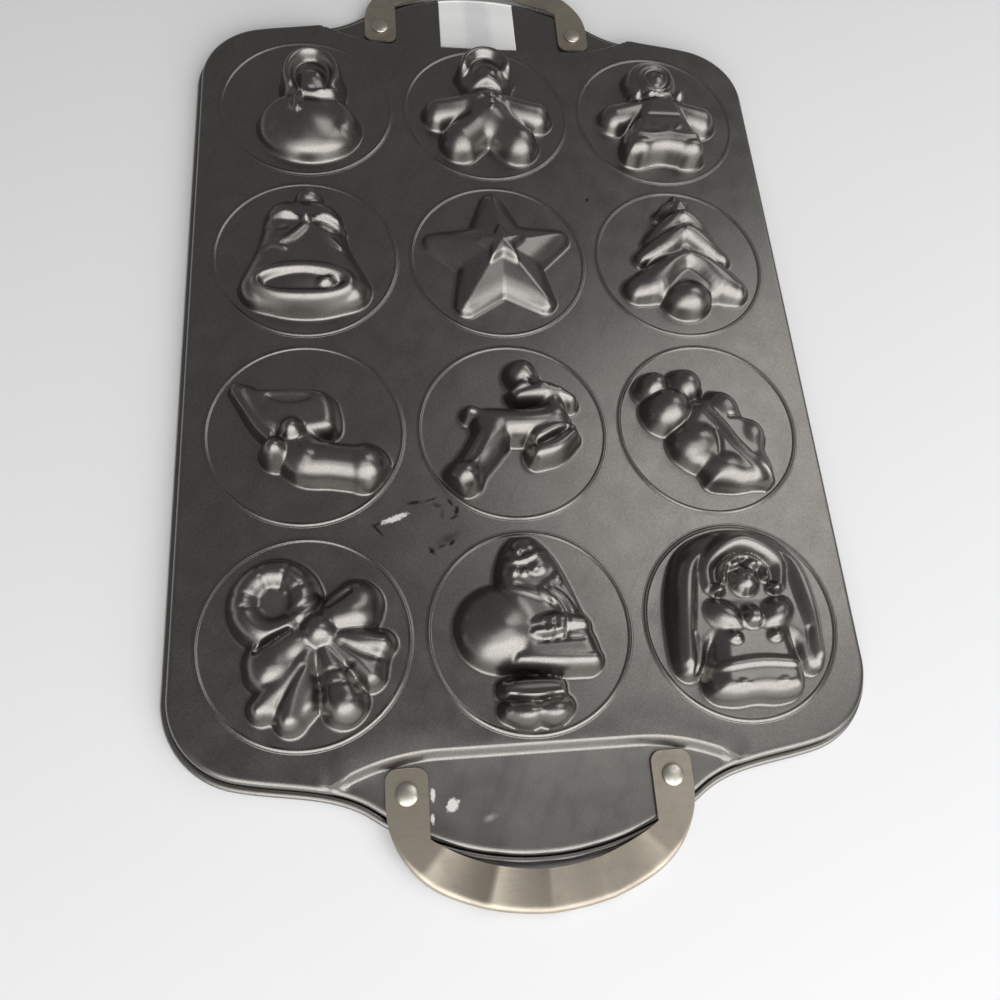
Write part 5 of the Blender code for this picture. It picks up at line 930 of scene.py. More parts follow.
def mould_shell(rows, middle_x, middle_y):
    """Points and faces of the sheet inside and on one ring.

    A square grid u, v from -1 to 1 is bent onto a disc: x is u times the root of 1 - v*v/2, and y is v
    times the root of 1 - u*u/2. Its height is the mould's relief, averaged over a few cells and thinned to
    every second point. Round it, rows of points at growing radii carry the bead, whose height at the
    distance t from its crest is half of 1 + cos(pi t) of the whole, where t is 1 at the bead's foot.
    """
    fine = np.linspace(-1, 1, 2 * GRID_COUNT - 1)
    u, v = np.meshgrid(fine, fine)
    x = MOULD_REACH * u * np.sqrt(1 - v * v / 2)
    y = MOULD_REACH * v * np.sqrt(1 - u * u / 2)
    heights = mould_heights(rows, x / RING_RADIUS, y / RING_RADIUS) * RING_RADIUS
    heights *= np.clip((MOULD_REACH - np.hypot(x, y)) / MOULD_FOOT, 0, 1)
    heights = blurred(np.clip(heights, 0, None), BLUR_CELLS)
    heights *= smooth_step((MOULD_REACH - np.hypot(x, y)) / (MOULD_FOOT / 2))
    disc = np.stack([x, y, heights], axis=-1)[::2, ::2]
    points = disc.reshape(-1, 3)
    faces = [grid_faces(GRID_COUNT, GRID_COUNT)]
    loop = square_edge(GRID_COUNT)
    turns = np.arctan2(points[loop, 1], points[loop, 0])
    radii = np.array(SHELL_ROWS)[:, None]
    crest = np.clip(np.abs(radii - RING_RADIUS) / (RING_BEAD_WIDTH / 2), 0, 1)
    bead = RING_BEAD_HEIGHT * (1 + np.cos(pi * crest)) / 2 + 0 * turns
    rings = np.stack([radii * np.cos(turns), radii * np.sin(turns), bead], axis=-1).reshape(-1, 3)
    count = len(loop)
    ahead = np.roll(loop, -1)
    first = len(points)
    start = first + np.arange(count)
    faces.append(np.c_[loop, start, np.roll(start, -1), ahead])
    faces.append(grid_faces(len(SHELL_ROWS), count, first, is_ring=True)[:, ::-1])
    points = np.vstack([points, rings]) + (middle_x, middle_y, DECK_HEIGHT)
    return points, np.vstack(faces)


def square_edge(count):
    """Index of each point on the edge of a square grid, turning left from its first point."""
    index = np.arange(count * count).reshape(count, count)
    return np.concatenate([index[0, :-1], index[:-1, -1], index[-1, :0:-1], index[:0:-1, 0]])


def quarter_outline():
    """The far right quarter of the crease above the wall: side, corner arc, shoulder, ledge arc.

    The two arcs are circles. The shoulder is a cubic that leaves the corner arc and meets the ledge arc
    along their own directions.
    """
    corner_x = DECK_HALF_WIDTH - CORNER_RADIUS
    sweep = np.radians(np.linspace(0, CORNER_SWEEP, CORNER_SEGMENTS + 1))
    corner = np.c_[corner_x + CORNER_RADIUS * np.cos(sweep), CORNER_CENTRE + CORNER_RADIUS * np.sin(sweep)]
    sweep = np.radians(np.linspace(LEDGE_SWEEP, 0, LEDGE_SEGMENTS + 1))
    ledge = np.c_[LEDGE_RADIUS * np.sin(sweep), LEDGE_CENTRE + LEDGE_RADIUS * np.cos(sweep)]
    start, end = corner[-1], ledge[0]
    reach = np.linalg.norm(end - start)
    leave = reach * np.array([-sin(radians(CORNER_SWEEP)), cos(radians(CORNER_SWEEP))])
    arrive = reach * np.array([-cos(radians(LEDGE_SWEEP)), sin(radians(LEDGE_SWEEP))])
    part = np.linspace(0, 1, SHOULDER_SEGMENTS + 1)[1:-1, None]
    eased = smooth_step(part)
    bend = leave * part * (1 - part) ** 2 - arrive * part * part * (1 - part)
    return np.vstack([corner, start * (1 - eased) + end * eased + bend, ledge])


def outline():
    """The whole crease, turning left."""
    quarter = quarter_outline()
    right = np.vstack([quarter[:0:-1] * (1, -1), quarter])
    left = right[::-1] * (-1, 1)
    return np.vstack([right, left[1:-1]])


def offset_outline(points, distance):
    """A closed outline moved outward by a distance, with its corners mitred."""
    run = np.roll(points, -1, axis=0) - points
    normal = np.c_[run[:, 1], -run[:, 0]] / np.linalg.norm(run, axis=1)[:, None]
    before = np.roll(normal, 1, axis=0)
    mitre = (normal + before) / (1 + (normal * before).sum(1))[:, None]
    return points + distance * mitre


def step_line(x):
    """Distance from the middle of the pan to the top of the step: straight, then an arc towards the rim."""
    past = np.clip(np.abs(x) - STEP_BEND_START, 0, STEP_BEND_RADIUS)
    return STEP_Y + STEP_BEND_RADIUS - np.sqrt(STEP_BEND_RADIUS**2 - past**2)


def base_height(x, y):
    """Top of the deck and ledges, which falls over the step in an S curve."""
    run = STEP_RUN + 2 * STEP_ROW_REACH
    return DECK_HEIGHT - LEDGE_DROP * smooth_step((np.abs(y) - step_line(x) + STEP_ROW_REACH) / run)


def deck_fill(edge):
    """Flat triangles between the pan's edge and the twelve shells, with rows of points along both steps."""
    points = [edge]
    lines = [loop_lines(len(edge), 0)]
    total = len(edge)
    loop = square_edge(GRID_COUNT)[::CIRCLE_SKIP]
    turns = loop_turns()[::CIRCLE_SKIP]
    for middle_x, middle_y in mould_centres():
        points.append(np.c_[middle_x + SHELL_EDGE * np.cos(turns), middle_y + SHELL_EDGE * np.sin(turns)])
        lines.append(loop_lines(len(loop), total))
        total += len(loop)
    places = np.linspace(-STEP_LINE_REACH, STEP_LINE_REACH, STEP_LINE_POINTS)
    for side in (-1, 1):
        for run in np.linspace(-STEP_ROW_REACH, STEP_RUN + STEP_ROW_REACH, STEP_ROWS):
            points.append(np.c_[places, side * (step_line(places) + run)])
            lines.append(total + np.c_[np.arange(len(places) - 1), np.arange(1, len(places))])
            total += len(places)
    places, _, faces, _, _, _ = geometry.delaunay_2d_cdt(
        np.vstack(points).tolist(), np.vstack(lines).tolist(), [], 1, FILL_MERGE
    )
    places, faces = np.array([tuple(place) for place in places]), np.array(faces)
    middles = places[faces].mean(axis=1)
    is_deck = np.ones(len(faces), bool)
    nearest = SHELL_EDGE * cos(pi / len(loop))
    for middle_x, middle_y in mould_centres():
        is_deck &= np.hypot(middles[:, 0] - middle_x, middles[:, 1] - middle_y) > nearest
    return places, faces[is_deck]


def loop_lines(count, first):
    """Pairs of neighbours round a closed loop."""
    return first + np.c_[np.arange(count), np.roll(np.arange(count), -1)]


def loop_turns():
    """Angle of each point on the edge of a mould's disc, whose grid is bent as the shell's is."""
    fine = np.linspace(-1, 1, GRID_COUNT)
    u, v = np.meshgrid(fine, fine)
    angles = np.arctan2(v * np.sqrt(1 - u * u / 2), u * np.sqrt(1 - v * v / 2))
    return angles.reshape(-1)[square_edge(GRID_COUNT)]


def open_pairs(places, faces):
    """Pairs of neighbours on the edges of a fill that belong to one triangle only."""
    pairs = np.concatenate([faces[:, [0, 1]], faces[:, [1, 2]], faces[:, [2, 0]]])
    keys = np.sort(pairs, axis=1) @ (len(places), 1)
    _, back, count = np.unique(keys, return_inverse=True, return_counts=True)
    return pairs[count[back.reshape(-1)] == 1]


def outer_edge(places, pairs):
    """Points on the outer edge of a fill, in order of their angle about the middle of the pan."""
    rim = np.unique(pairs)
    for middle_x, middle_y in mould_centres():
        away = np.hypot(places[rim, 0] - middle_x, places[rim, 1] - middle_y)
        rim = rim[away > SHELL_EDGE + EDGE_GUARD]
    return rim[np.argsort(np.arctan2(places[rim, 1], places[rim, 0]))]


def wall_section(skin, sheet):
    """Section of the wall and rolled edge: distance out, height, and one where it hangs from the deck.

    A quarter circle turns down into the wall, which ends in most of a full circle. skin is zero on the face
    that shows from above and the sheet's thickness on the other.
    """
    bend = np.linspace(pi / 2, 0, FILLET_SEGMENTS + 1)
    fillet = WALL_FILLET - skin
    hung = np.c_[fillet * np.cos(bend) - WALL_INSET, fillet * np.sin(bend) - WALL_FILLET, 0 * bend + 1]
    turn = pi + np.radians(np.linspace(0, CURL_SWEEP, CURL_SEGMENTS + 1))
    radius = CURL_RADIUS - sheet + skin
    centre = curl_centre(sheet)
    curl = np.c_[centre + radius * np.cos(turn), CURL_RADIUS + radius * np.sin(turn), 0 * turn]
    return np.vstack([hung, curl])


def curl_centre(sheet):
    """Distance from the crease out to the middle of the rolled edge."""
    return WALL_FILLET - WALL_INSET + WALL_DRAFT + CURL_RADIUS - sheet


def deck_and_rim(sheet):
    """Points and faces of the deck, ledges, wall and rolled edge, top and underside."""
    edge = offset_outline(outline(), -WALL_INSET - EDGE_GUARD)
    places, faces = deck_fill(edge)
    top = np.c_[places, base_height(places[:, 0], places[:, 1])]
    below = top - (0, 0, sheet)
    pairs = open_pairs(places, faces)
    loop = outer_edge(places, pairs)
    crease = offset_outline(places[loop], WALL_INSET + EDGE_GUARD)
    level = base_height(crease[:, 0], crease[:, 1])
    rows = []
    for out, height, is_hung in np.vstack([wall_section(0, sheet), wall_section(sheet, sheet)[::-1]]):
        heights = level + height if is_hung else np.full(len(loop), height)
        rows.append(np.c_[offset_outline(crease, out), heights])
    count = len(top)
    first = 2 * count
    last = first + (len(rows) - 1) * len(loop)
    ring = np.arange(len(loop))
    holes = pairs[~np.isin(pairs[:, 0], loop)]
    quads = [
        np.c_[loop, first + ring, first + np.roll(ring, -1), np.roll(loop, -1)],
        grid_faces(len(rows), len(loop), first, is_ring=True)[:, ::-1],
        np.c_[last + ring, loop + count, np.roll(loop, -1) + count, last + np.roll(ring, -1)],
        np.c_[holes[:, 1], holes[:, 0], holes[:, 0] + count, holes[:, 1] + count],
    ]
    return np.vstack([top, below, *rows]), np.vstack(quads), np.vstack([faces, faces[:, ::-1] + count])


# Handles, rivets and label.


def arc_height(radius, apex, x):
    """Height of a circle over x, when its highest point is at the apex."""
    return apex - radius + np.sqrt(radius**2 - x**2)


def handle_stations(sheet):
    """Inner place, outer place, lip share and flute share of each station of the right half, tab end first.

    The tab's corners are quarter circles. The outer edge follows a corner circle and then the grip's circle,
    and the inner edge its own circle. A flute's share is 1 - (2t - 1)^2 over its length, so that flutes meet
    in a crease.
    """
    inner_x = (TAB_SPACING - TAB_WIDTH) / 2
    outer_x = (TAB_SPACING + TAB_WIDTH) / 2
    inner_apex = LEDGE_APEX + curl_centre(sheet) + CURL_RADIUS + GRIP_INNER_REACH
    outer_apex = inner_apex + GRIP_REACH - GRIP_INNER_REACH
    corner_x = outer_x - GRIP_CORNER_RADIUS
    between = GRIP_OUTER_RADIUS - GRIP_CORNER_RADIUS
    corner_y = outer_apex - GRIP_OUTER_RADIUS + sqrt(between**2 - corner_x**2)
    join = acos(corner_x / between)
    inner_corner = arc_height(GRIP_INNER_RADIUS, inner_apex, inner_x)
    back = TAB_CORNER * (1 - np.cos(np.linspace(0, pi / 2, TAB_STEPS + 1)))
    round_in = TAB_CORNER - np.sqrt(TAB_CORNER**2 - (TAB_CORNER - back) ** 2)
    none = np.zeros(len(back))
    tab = np.c_[inner_x + round_in, TAB_START + back, outer_x - round_in, TAB_START + back, none, none]
    share = np.linspace(0, 1, TURN_STEPS + 1)
    angle = join * TURN_END_SHARE * share
    rise = np.clip(share * TURN_RATE_SHARE, 0, 1)
    ease = np.clip((share * TURN_RATE_SHARE - 1) / (TURN_RATE_SHARE - 1), 0, 1)
    turn_x = inner_x * (1 - (1 - GRIP_START_SHARE) * ease)
    turn_y = corner_y + (inner_corner - corner_y) * rise
    turn_y = np.where(ease > 0, arc_height(GRIP_INNER_RADIUS, inner_apex, turn_x), turn_y)
    lip = np.clip((share - LIP_START_SHARE) / (1 - LIP_START_SHARE), 0, 1)
    turn = np.c_[turn_x, turn_y, corner_x + GRIP_CORNER_RADIUS * np.cos(angle),
                 corner_y + GRIP_CORNER_RADIUS * np.sin(angle), lip, 0 * share]
    count = FLUTE_COUNT // 2 * FLUTE_STEPS
    step = np.arange(1, count + 1)
    left = 1 - step / count
    x_in = turn[-1, 0] * left
    x_out = turn[-1, 2] * left
    on_corner = corner_y + np.sqrt(np.clip(GRIP_CORNER_RADIUS**2 - (x_out - corner_x) ** 2, 0, None))
    is_corner = x_out > corner_x + GRIP_CORNER_RADIUS * cos(join)
    y_out = np.where(is_corner, on_corner, arc_height(GRIP_OUTER_RADIUS, outer_apex, x_out))
    flute = 1 - (2 * (step % FLUTE_STEPS / FLUTE_STEPS) - 1) ** 2
    grip = np.c_[x_in, arc_height(GRIP_INNER_RADIUS, inner_apex, x_in), x_out, y_out, 0 * left + 1, flute]
    return np.vstack([tab, turn[1:], grip])


def handle_sections(stations, flute_depth):
    """Closed section of the plate at each station: flat top, lip down its outer edge, flat underside."""
    inner, outer, lip, flute = stations[:, 0:2], stations[:, 2:4], stations[:, 4], stations[:, 5]
    length = np.linalg.norm(outer - inner, axis=1)[:, None]
    across = (outer - inner) / length
    bend = (GRIP_LIP_RADIUS * lip)[:, None]
    inside_bend = np.clip(bend - PLATE, 0, None)
    depth = (PLATE + (GRIP_LIP_DEPTH - PLATE) * lip)[:, None]
    top = (PLATE_TOP - flute_depth * flute)[:, None]
    flat = np.linspace(0, 1, PLATE_STEPS + 1)
    angle = np.linspace(0, pi / 2, BEND_STEPS + 1)
    middle = length - PLATE - inside_bend
    low = top - PLATE - inside_bend
    along = [(length - bend) * flat, length - bend + bend * np.sin(angle[1:]), length, length - PLATE,
             middle + inside_bend * np.sin(angle[::-1]), middle * flat[-2::-1]]
    height = [top + 0 * flat, top - bend + bend * np.cos(angle[1:]), top - depth, top - depth,
              low + inside_bend * np.cos(angle[::-1]), top - PLATE + 0 * flat[-2::-1]]
    along, height = np.hstack(along), np.hstack(height)
    places = inner[:, None, :] + across[:, None, :] * along[:, :, None]
    return np.dstack([places, height])


def handle_mesh(name, side, sizes):
    """One handle. The near one is the far one turned half round."""
    right = handle_stations(sizes.sheet)
    mirrored = right[-2::-1] * (-1, 1, -1, 1, 1, 1)
    sections = handle_sections(np.vstack([right, mirrored]), sizes.flute_depth)
    rows, columns, _ = sections.shape
    points = sections.reshape(-1, 3) * (side, side, 1)
    last = (rows - 1) * columns
    caps = np.vstack([np.arange(columns), last + np.arange(columns)[::-1]])
    faces = grid_faces(rows, columns, is_ring=True)
    return mesh_from(name, points, faces[:, ::-1], caps[:, ::-1])


def rivet_mesh(name, x, y, head_height):
    """A turned section: a domed head with a small upright rim, a shank and a flat tail."""
    head_base = PLATE_TOP + HEAD_CLEARANCE
    tail_top = LEDGE_HEIGHT - CLEARANCE
    bend = np.linspace(0, pi / 2, DOME_STEPS + 1)
    rim = head_height * HEAD_RIM_SHARE
    dome = np.c_[RIVET_HEAD_RADIUS * np.sin(bend), head_base + rim + (head_height - rim) * np.cos(bend)]
    section = np.vstack([dome[1:], [
        (RIVET_HEAD_RADIUS, head_base + rim / 2),
        (RIVET_HEAD_RADIUS - rim / 2, head_base),
        (RIVET_SHANK_RADIUS, head_base),
        (RIVET_SHANK_RADIUS, tail_top - RIVET_TAIL_HEIGHT / 2),
        (RIVET_TAIL_RADIUS, tail_top - RIVET_TAIL_HEIGHT / 2),
        (RIVET_TAIL_RADIUS, tail_top - RIVET_TAIL_HEIGHT),
        (RIVET_TAIL_RADIUS - RIVET_TAIL_HEIGHT / 2, tail_top - 1.5 * RIVET_TAIL_HEIGHT),
    ]])
    turns = np.arange(RIVET_SEGMENTS) * 2 * pi / RIVET_SEGMENTS
    rings = np.stack([
        section[:, :1] * np.cos(turns), section[:, :1] * np.sin(turns), section[:, 1:] + 0 * turns
    ], axis=-1).reshape(-1, 3)
    first = len(rings)
    poles = [(0, 0, dome[0, 1]), (0, 0, section[-1, 1])]
    points = np.vstack([rings, poles]) + (x, y, 0)
    ring = np.arange(RIVET_SEGMENTS)
    ahead = np.roll(ring, -1)
    low = (len(section) - 1) * RIVET_SEGMENTS
    ends = np.vstack([np.c_[np.full(len(ring), first), ring, ahead],
                      np.c_[np.full(len(ring), first + 1), low + ahead, low + ring]])
    faces = grid_faces(len(section), RIVET_SEGMENTS, is_ring=True)
    return mesh_from(name, points, faces[:, ::-1], ends)


def label_mesh(name, lift):
    """Paper strip on the far ledge: flat, then bent down over the wall in part of a circle.

    Two low waves and a lift towards its near corners keep it from lying dead flat.
    """
    radius = WALL_FILLET + CLEARANCE + LABEL_THICKNESS
    lowest = 2 * CURL_RADIUS + CLEARANCE - LEDGE_HEIGHT
    x = np.linspace(-LABEL_WIDTH / 2, LABEL_WIDTH / 2, LABEL_COLUMNS)[:, None]
    lean = np.arcsin(x / LEDGE_RADIUS)
    out = LEDGE_RADIUS - WALL_INSET
    near = np.stack([x, 0 * x + STEP_Y + LABEL_SET_IN], axis=-1)
    far = np.stack([out * np.sin(lean), LEDGE_CENTRE + out * np.cos(lean)], axis=-1)
    part = np.linspace(0, 1, LABEL_ROWS)[None, :, None]
    flat = near * (1 - part) + far * part
    part = part[..., 0]
    wave = lift / 2 * (1 + np.sin(2 * pi * LABEL_WAVES * part + LABEL_WAVE_SKEW * x / LABEL_WIDTH))
    corner = lift * (1 - part) ** LABEL_CORNER_POWER * (2 * x / LABEL_WIDTH) ** 2
    edge_fade = np.clip((1 - part) * LABEL_FAR_FADE, 0, 1)
    flat = np.dstack([flat, LEDGE_HEIGHT + CLEARANCE + wave * edge_fade + corner])
    bends = np.linspace(pi / 2, asin((WALL_FILLET + lowest) / radius), LABEL_BEND_ROWS + 1)[None, 1:]
    reach = out + radius * np.cos(bends)
    bent = np.dstack([
        reach * np.sin(lean), LEDGE_CENTRE + reach * np.cos(lean),
        LEDGE_HEIGHT + radius * np.sin(bends) - WALL_FILLET + 0 * lean,
    ])
    points = np.concatenate([flat, bent], axis=1)
    rows, columns, _ = points.shape
    return mesh_from(name, points.reshape(-1, 3), grid_faces(rows, columns)[:, ::-1])


# Finishes.


def new_finish(name):
    """A material with its shader and the place of each point of the piece."""
    surface = bpy.data.materials.new(name)
    surface.use_nodes = True
    tree = surface.node_tree
    place = tree.nodes.new("ShaderNodeTexCoord").outputs["Object"]
    return surface, tree, tree.nodes["Principled BSDF"], place


def wire(tree, target, value):
    """Sets a socket, or links it where the value comes from another node."""
    if isinstance(value, bpy.types.NodeSocket):
        tree.links.new(value, target)
    else:
        target.default_value = value


def noise(tree, place, scale, detail=3, roughness=0.5):
    """Noise from zero to one at a scale in waves per metre."""
    node = tree.nodes.new("ShaderNodeTexNoise")
    wire(tree, node.inputs["Vector"], place)
    node.inputs["Scale"].default_value = scale
    node.inputs["Detail"].default_value = detail
    node.inputs["Roughness"].default_value = roughness
    return node.outputs["Fac"]


def spread(tree, value, low, high, start=0.0, end=1.0):
    """Carries a value from one range to another, and holds it inside."""
    node = tree.nodes.new("ShaderNodeMapRange")
    for socket, setting in zip(node.inputs, (value, low, high, start, end)):
        wire(tree, socket, setting)
    return node.outputs["Result"]


def worked(tree, operation, one, other):
    """Result of a sum on two values."""
    node = tree.nodes.new("ShaderNodeMath")
    node.operation = operation
    wire(tree, node.inputs[0], one)
    wire(tree, node.inputs[1], other)
    return node.outputs[0]


def mixed(tree, share, one, other):
    """One colour turned into another by a share."""
    node = tree.nodes.new("ShaderNodeMix")
    node.data_type = "RGBA"
    wire(tree, node.inputs["Factor"], share)
    wire(tree, node.inputs[6], one)
    wire(tree, node.inputs[7], other)
    return node.outputs[2]


def moved(tree, place, middle, turn, size):
    """Places seen from a middle, turned, and measured in units of a size."""
    node = tree.nodes.new("ShaderNodeMapping")
    node.vector_type = "TEXTURE"
    wire(tree, node.inputs["Vector"], place)
    node.inputs["Location"].default_value = middle
    node.inputs["Rotation"].default_value = (0, 0, radians(turn))
    node.inputs["Scale"].default_value = size
    return node.outputs["Vector"]


def stain(tree, place, middle, turn, size, softness, share, ragged):
    """A share inside a turned oval with a soft and ragged edge, zero outside it."""
    local = moved(tree, place, (*middle, 0), turn, (*size, 1))
    flat = tree.nodes.new("ShaderNodeVectorMath")
    flat.operation = "MULTIPLY"
    wire(tree, flat.inputs[0], local)
    flat.inputs[1].default_value = (1, 1, 0)
    length = tree.nodes.new("ShaderNodeVectorMath")
    length.operation = "LENGTH"
    wire(tree, length.inputs[0], flat.outputs[0])
    reach = worked(tree, "ADD", length.outputs["Value"], ragged)
    return spread(tree, reach, 1 - softness, 1 + softness, share, 0.0)


def stains(tree, place, marks):
    """All the marks of a table, each with the same ragged edge, on faces that look up."""
    uneven = worked(tree, "SUBTRACT", noise(tree, place, MARK_NOISE), 0.5)
    ragged = worked(tree, "MULTIPLY", uneven, MARK_RAGGEDNESS)
    mask = 0.0
    for mark in marks:
        mask = worked(tree, "MAXIMUM", stain(tree, place, *mark, ragged), mask)
    axes = tree.nodes.new("ShaderNodeSeparateXYZ")
    wire(tree, axes.inputs[0], tree.nodes.new("ShaderNodeNewGeometry").outputs["Normal"])
    return worked(tree, "MULTIPLY", mask, spread(tree, axes.outputs["Z"], *MARK_SLOPES))


def bumped(tree, shader, height, distance):
    """Small unevenness of the surface, as deep as the distance."""
    node = tree.nodes.new("ShaderNodeBump")
    wire(tree, node.inputs["Height"], height)
    node.inputs["Distance"].default_value = distance
    wire(tree, shader.inputs["Normal"], node.outputs["Normal"])


def shade(colour, share):
    """A colour made lighter or darker by a share."""
    return tuple(min(1, part * share) for part in colour[:3]) + (1,)


def coat_finish(finish):
    """Dark release coat: fine light specks, a slow change of tone, rubbed smears, and small marks."""
    surface, tree, shader, place = new_finish("worn_coat")
    specks = spread(tree, noise(tree, place, 2600, 2, 0.6), 0.42, 0.68)
    slow = noise(tree, place, 28, 4, 0.6)
    tone = mixed(tree, slow, shade(finish.coat, 0.86), shade(finish.coat, 1.14))
    tone = mixed(tree, worked(tree, "MULTIPLY", specks, 0.34), tone, shade(finish.coat, 2.2))
    along = moved(tree, place, (0, 0, 0), 62, (1, 0.16, 1))
    smears = spread(tree, noise(tree, along, 34, 4, 0.62), 0.56, 0.74)
    tone = mixed(tree, worked(tree, "MULTIPLY", smears, 0.25), tone, shade(finish.coat, 0.6))
    dark = stains(tree, place, DARK_MARKS)
    pale = stains(tree, place, PALE_MARKS)
    tone = mixed(tree, pale, mixed(tree, dark, tone, (*DARK_MARK, 1)), (*PALE_MARK, 1))
    wire(tree, shader.inputs["Base Color"], tone)
    wire(tree, shader.inputs["Metallic"], worked(tree, "SUBTRACT", COAT_METAL_SHARE, pale))
    shader.inputs["Specular IOR Level"].default_value = COAT_GLOSS_SHARE
    low, high = finish.coat_roughness - 0.04, finish.coat_roughness + 0.05
    wire(tree, shader.inputs["Roughness"], spread(tree, noise(tree, place, 90, 4), 0.3, 0.7, low, high))
    grain = noise(tree, place, 2100, 3, 0.6)
    waves = worked(tree, "MULTIPLY", noise(tree, place, 46, 2), 9)
    bumped(tree, shader, worked(tree, "ADD", grain, waves), GRAIN_DEPTH)
    return surface


def plate_finish(finish):
    """Warm bright plate with fine drawing lines along the handle and a dull bloom in patches."""
    surface, tree, shader, place = new_finish("drawn_plate")
    lines = noise(tree, moved(tree, place, (0, 0, 0), 0, (9, 1, 1)), 1500, 3, 0.6)
    bloom = spread(tree, noise(tree, place, 75, 5, 0.62), 0.38, 0.72)
    tone = mixed(tree, bloom, shade(finish.plate, 1.08), shade(finish.plate, 0.72))
    tone = mixed(tree, spread(tree, lines, 0.55, 0.75, 0.0, 0.35), tone, shade(finish.plate, 0.55))
    wire(tree, shader.inputs["Base Color"], tone)
    shader.inputs["Metallic"].default_value = 0.8
    wire(tree, shader.inputs["Roughness"], spread(tree, bloom, 0.0, 1.0, 0.3, 0.46))
    bumped(tree, shader, lines, GRAIN_DEPTH / 2)
    return surface


def rivet_finish(finish):
    """Brighter plate, lightly turned, with a few dull spots."""
    surface, tree, shader, place = new_finish("turned_plate")
    spots = spread(tree, noise(tree, place, 520, 4, 0.6), 0.5, 0.7)
    tone = mixed(tree, spots, shade(finish.rivet, 1), shade(finish.rivet, 0.7))
    wire(tree, shader.inputs["Base Color"], tone)
    shader.inputs["Metallic"].default_value = 1
    wire(tree, shader.inputs["Roughness"], spread(tree, spots, 0.0, 1.0, 0.36, 0.5))
    bumped(tree, shader, noise(tree, place, 1800, 2), GRAIN_DEPTH / 2)
    return surface


def steel_finish():
    """Drawn steel wire, a little dull."""
    surface, tree, shader, place = new_finish("drawn_wire")
    scale = noise(tree, place, 700, 4, 0.6)
    wire(tree, shader.inputs["Base Color"], mixed(tree, scale, (0.36, 0.35, 0.34, 1), (0.5, 0.49, 0.47, 1)))
    shader.inputs["Metallic"].default_value = 1
    wire(tree, shader.inputs["Roughness"], spread(tree, scale, 0.3, 0.7, 0.3, 0.5))
    bumped(tree, shader, scale, GRAIN_DEPTH)
    return surface


def paper_finish(finish):
    """Blank matt paper with fibres, a pale grey band down its middle, and faint creases along it."""
    surface, tree, shader, place = new_finish("creased_paper")
    fibres = noise(tree, place, 1300, 4, 0.7)
    fleck = spread(tree, fibres, 0.35, 0.65)
    tone = mixed(tree, fleck, shade(finish.paper, 0.95), shade(finish.paper, 1.02))
    band = stains(tree, place, PAPER_BANDS)
    tone = mixed(tree, worked(tree, "MULTIPLY", band, 0.55), tone, (0.66, 0.67, 0.68, 1))
    grime = spread(tree, noise(tree, place, 160, 4, 0.6), 0.55, 0.8, 0.0, 0.16)
    tone = mixed(tree, grime, tone, (0.6, 0.58, 0.55, 1))
    wire(tree, shader.inputs["Base Color"], tone)
    shader.inputs["Roughness"].default_value = 0.62
    shader.inputs["Specular IOR Level"].default_value = 0.35
    folds = noise(tree, moved(tree, place, (0, 0, 0), 8, (1, 0.22, 1)), 120, 3, 0.6)
    bumped(tree, shader, worked(tree, "ADD", worked(tree, "MULTIPLY", folds, 6), fibres), GRAIN_DEPTH)
    return surface


def floor_finish(finish):
    """Plain pale table that shows the pan's shadow."""
    surface, tree, shader, place = new_finish("pale_table")
    slow = noise(tree, place, 6, 3)
    tone = mixed(tree, slow, shade(finish.floor, 0.99), shade(finish.floor, 1.01))
    wire(tree, shader.inputs["Base Color"], tone)
    shader.inputs["Roughness"].default_value = 0.85
    shader.inputs["Specular IOR Level"].default_value = 0.2
    return surface


def shared_finish(name, make, *settings):
    """A finish that several pieces wear, made once."""
    return bpy.data.materials.get(name) or make(*settings)


# Stage.


def add_lamp(name, place, width, depth, power):
    """A large soft lamp that looks at the middle of the pan."""
    data = bpy.data.lights.new(name, "AREA")
    data.shape = "RECTANGLE"
    data.size, data.size_y = width, depth
    data.energy = power
    obj = in_scene(name, data)
    obj.location = place
    obj.rotation_euler = (-Vector(place)).to_track_quat("-Z", "Y").to_euler()


def add_world(level):
    """Plain pale surroundings at one level."""
    world = bpy.data.worlds.new("plain_surroundings")
    world.use_nodes = True
    bpy.context.scene.world = world
    back = world.node_tree.nodes["Background"]
    back.inputs["Color"].default_value = (1, 1, 1, 1)
    back.inputs["Strength"].default_value = level


def add_camera():
    """Camera at the photograph's place and lens."""
    data = bpy.data.cameras.new("camera")
    data.lens = CAMERA_LENS
    data.sensor_width = CAMERA_SENSOR
    data.clip_start = CAMERA_NEAREST
    obj = in_scene("camera", data)
    obj.location = CAMERA_PLACE
    obj.rotation_euler = Euler([radians(angle) for angle in CAMERA_TURN])
    bpy.context.scene.camera = obj


# Operators.


class CAKEPAN_OT_deck(bpy.types.Operator):
    """Add the deck, the two ledges, the turned-down wall and the rolled edge"""

    bl_idname = "cakepan.deck"
    bl_label = "Add Deck and Rim"

    def execute(self, context):
        sizes, finish = context.scene.pan_sizes, context.scene.pan_finish
        points, quads, triangles = deck_and_rim(sizes.sheet)
        mesh = mesh_from("deck_and_rim", points, quads, triangles)
        coat = shared_finish("worn_coat", coat_finish, finish)
        piece("deck_and_rim", mesh, coat, "dark_release_coat", "pan_sheet")
        return {"FINISHED"}


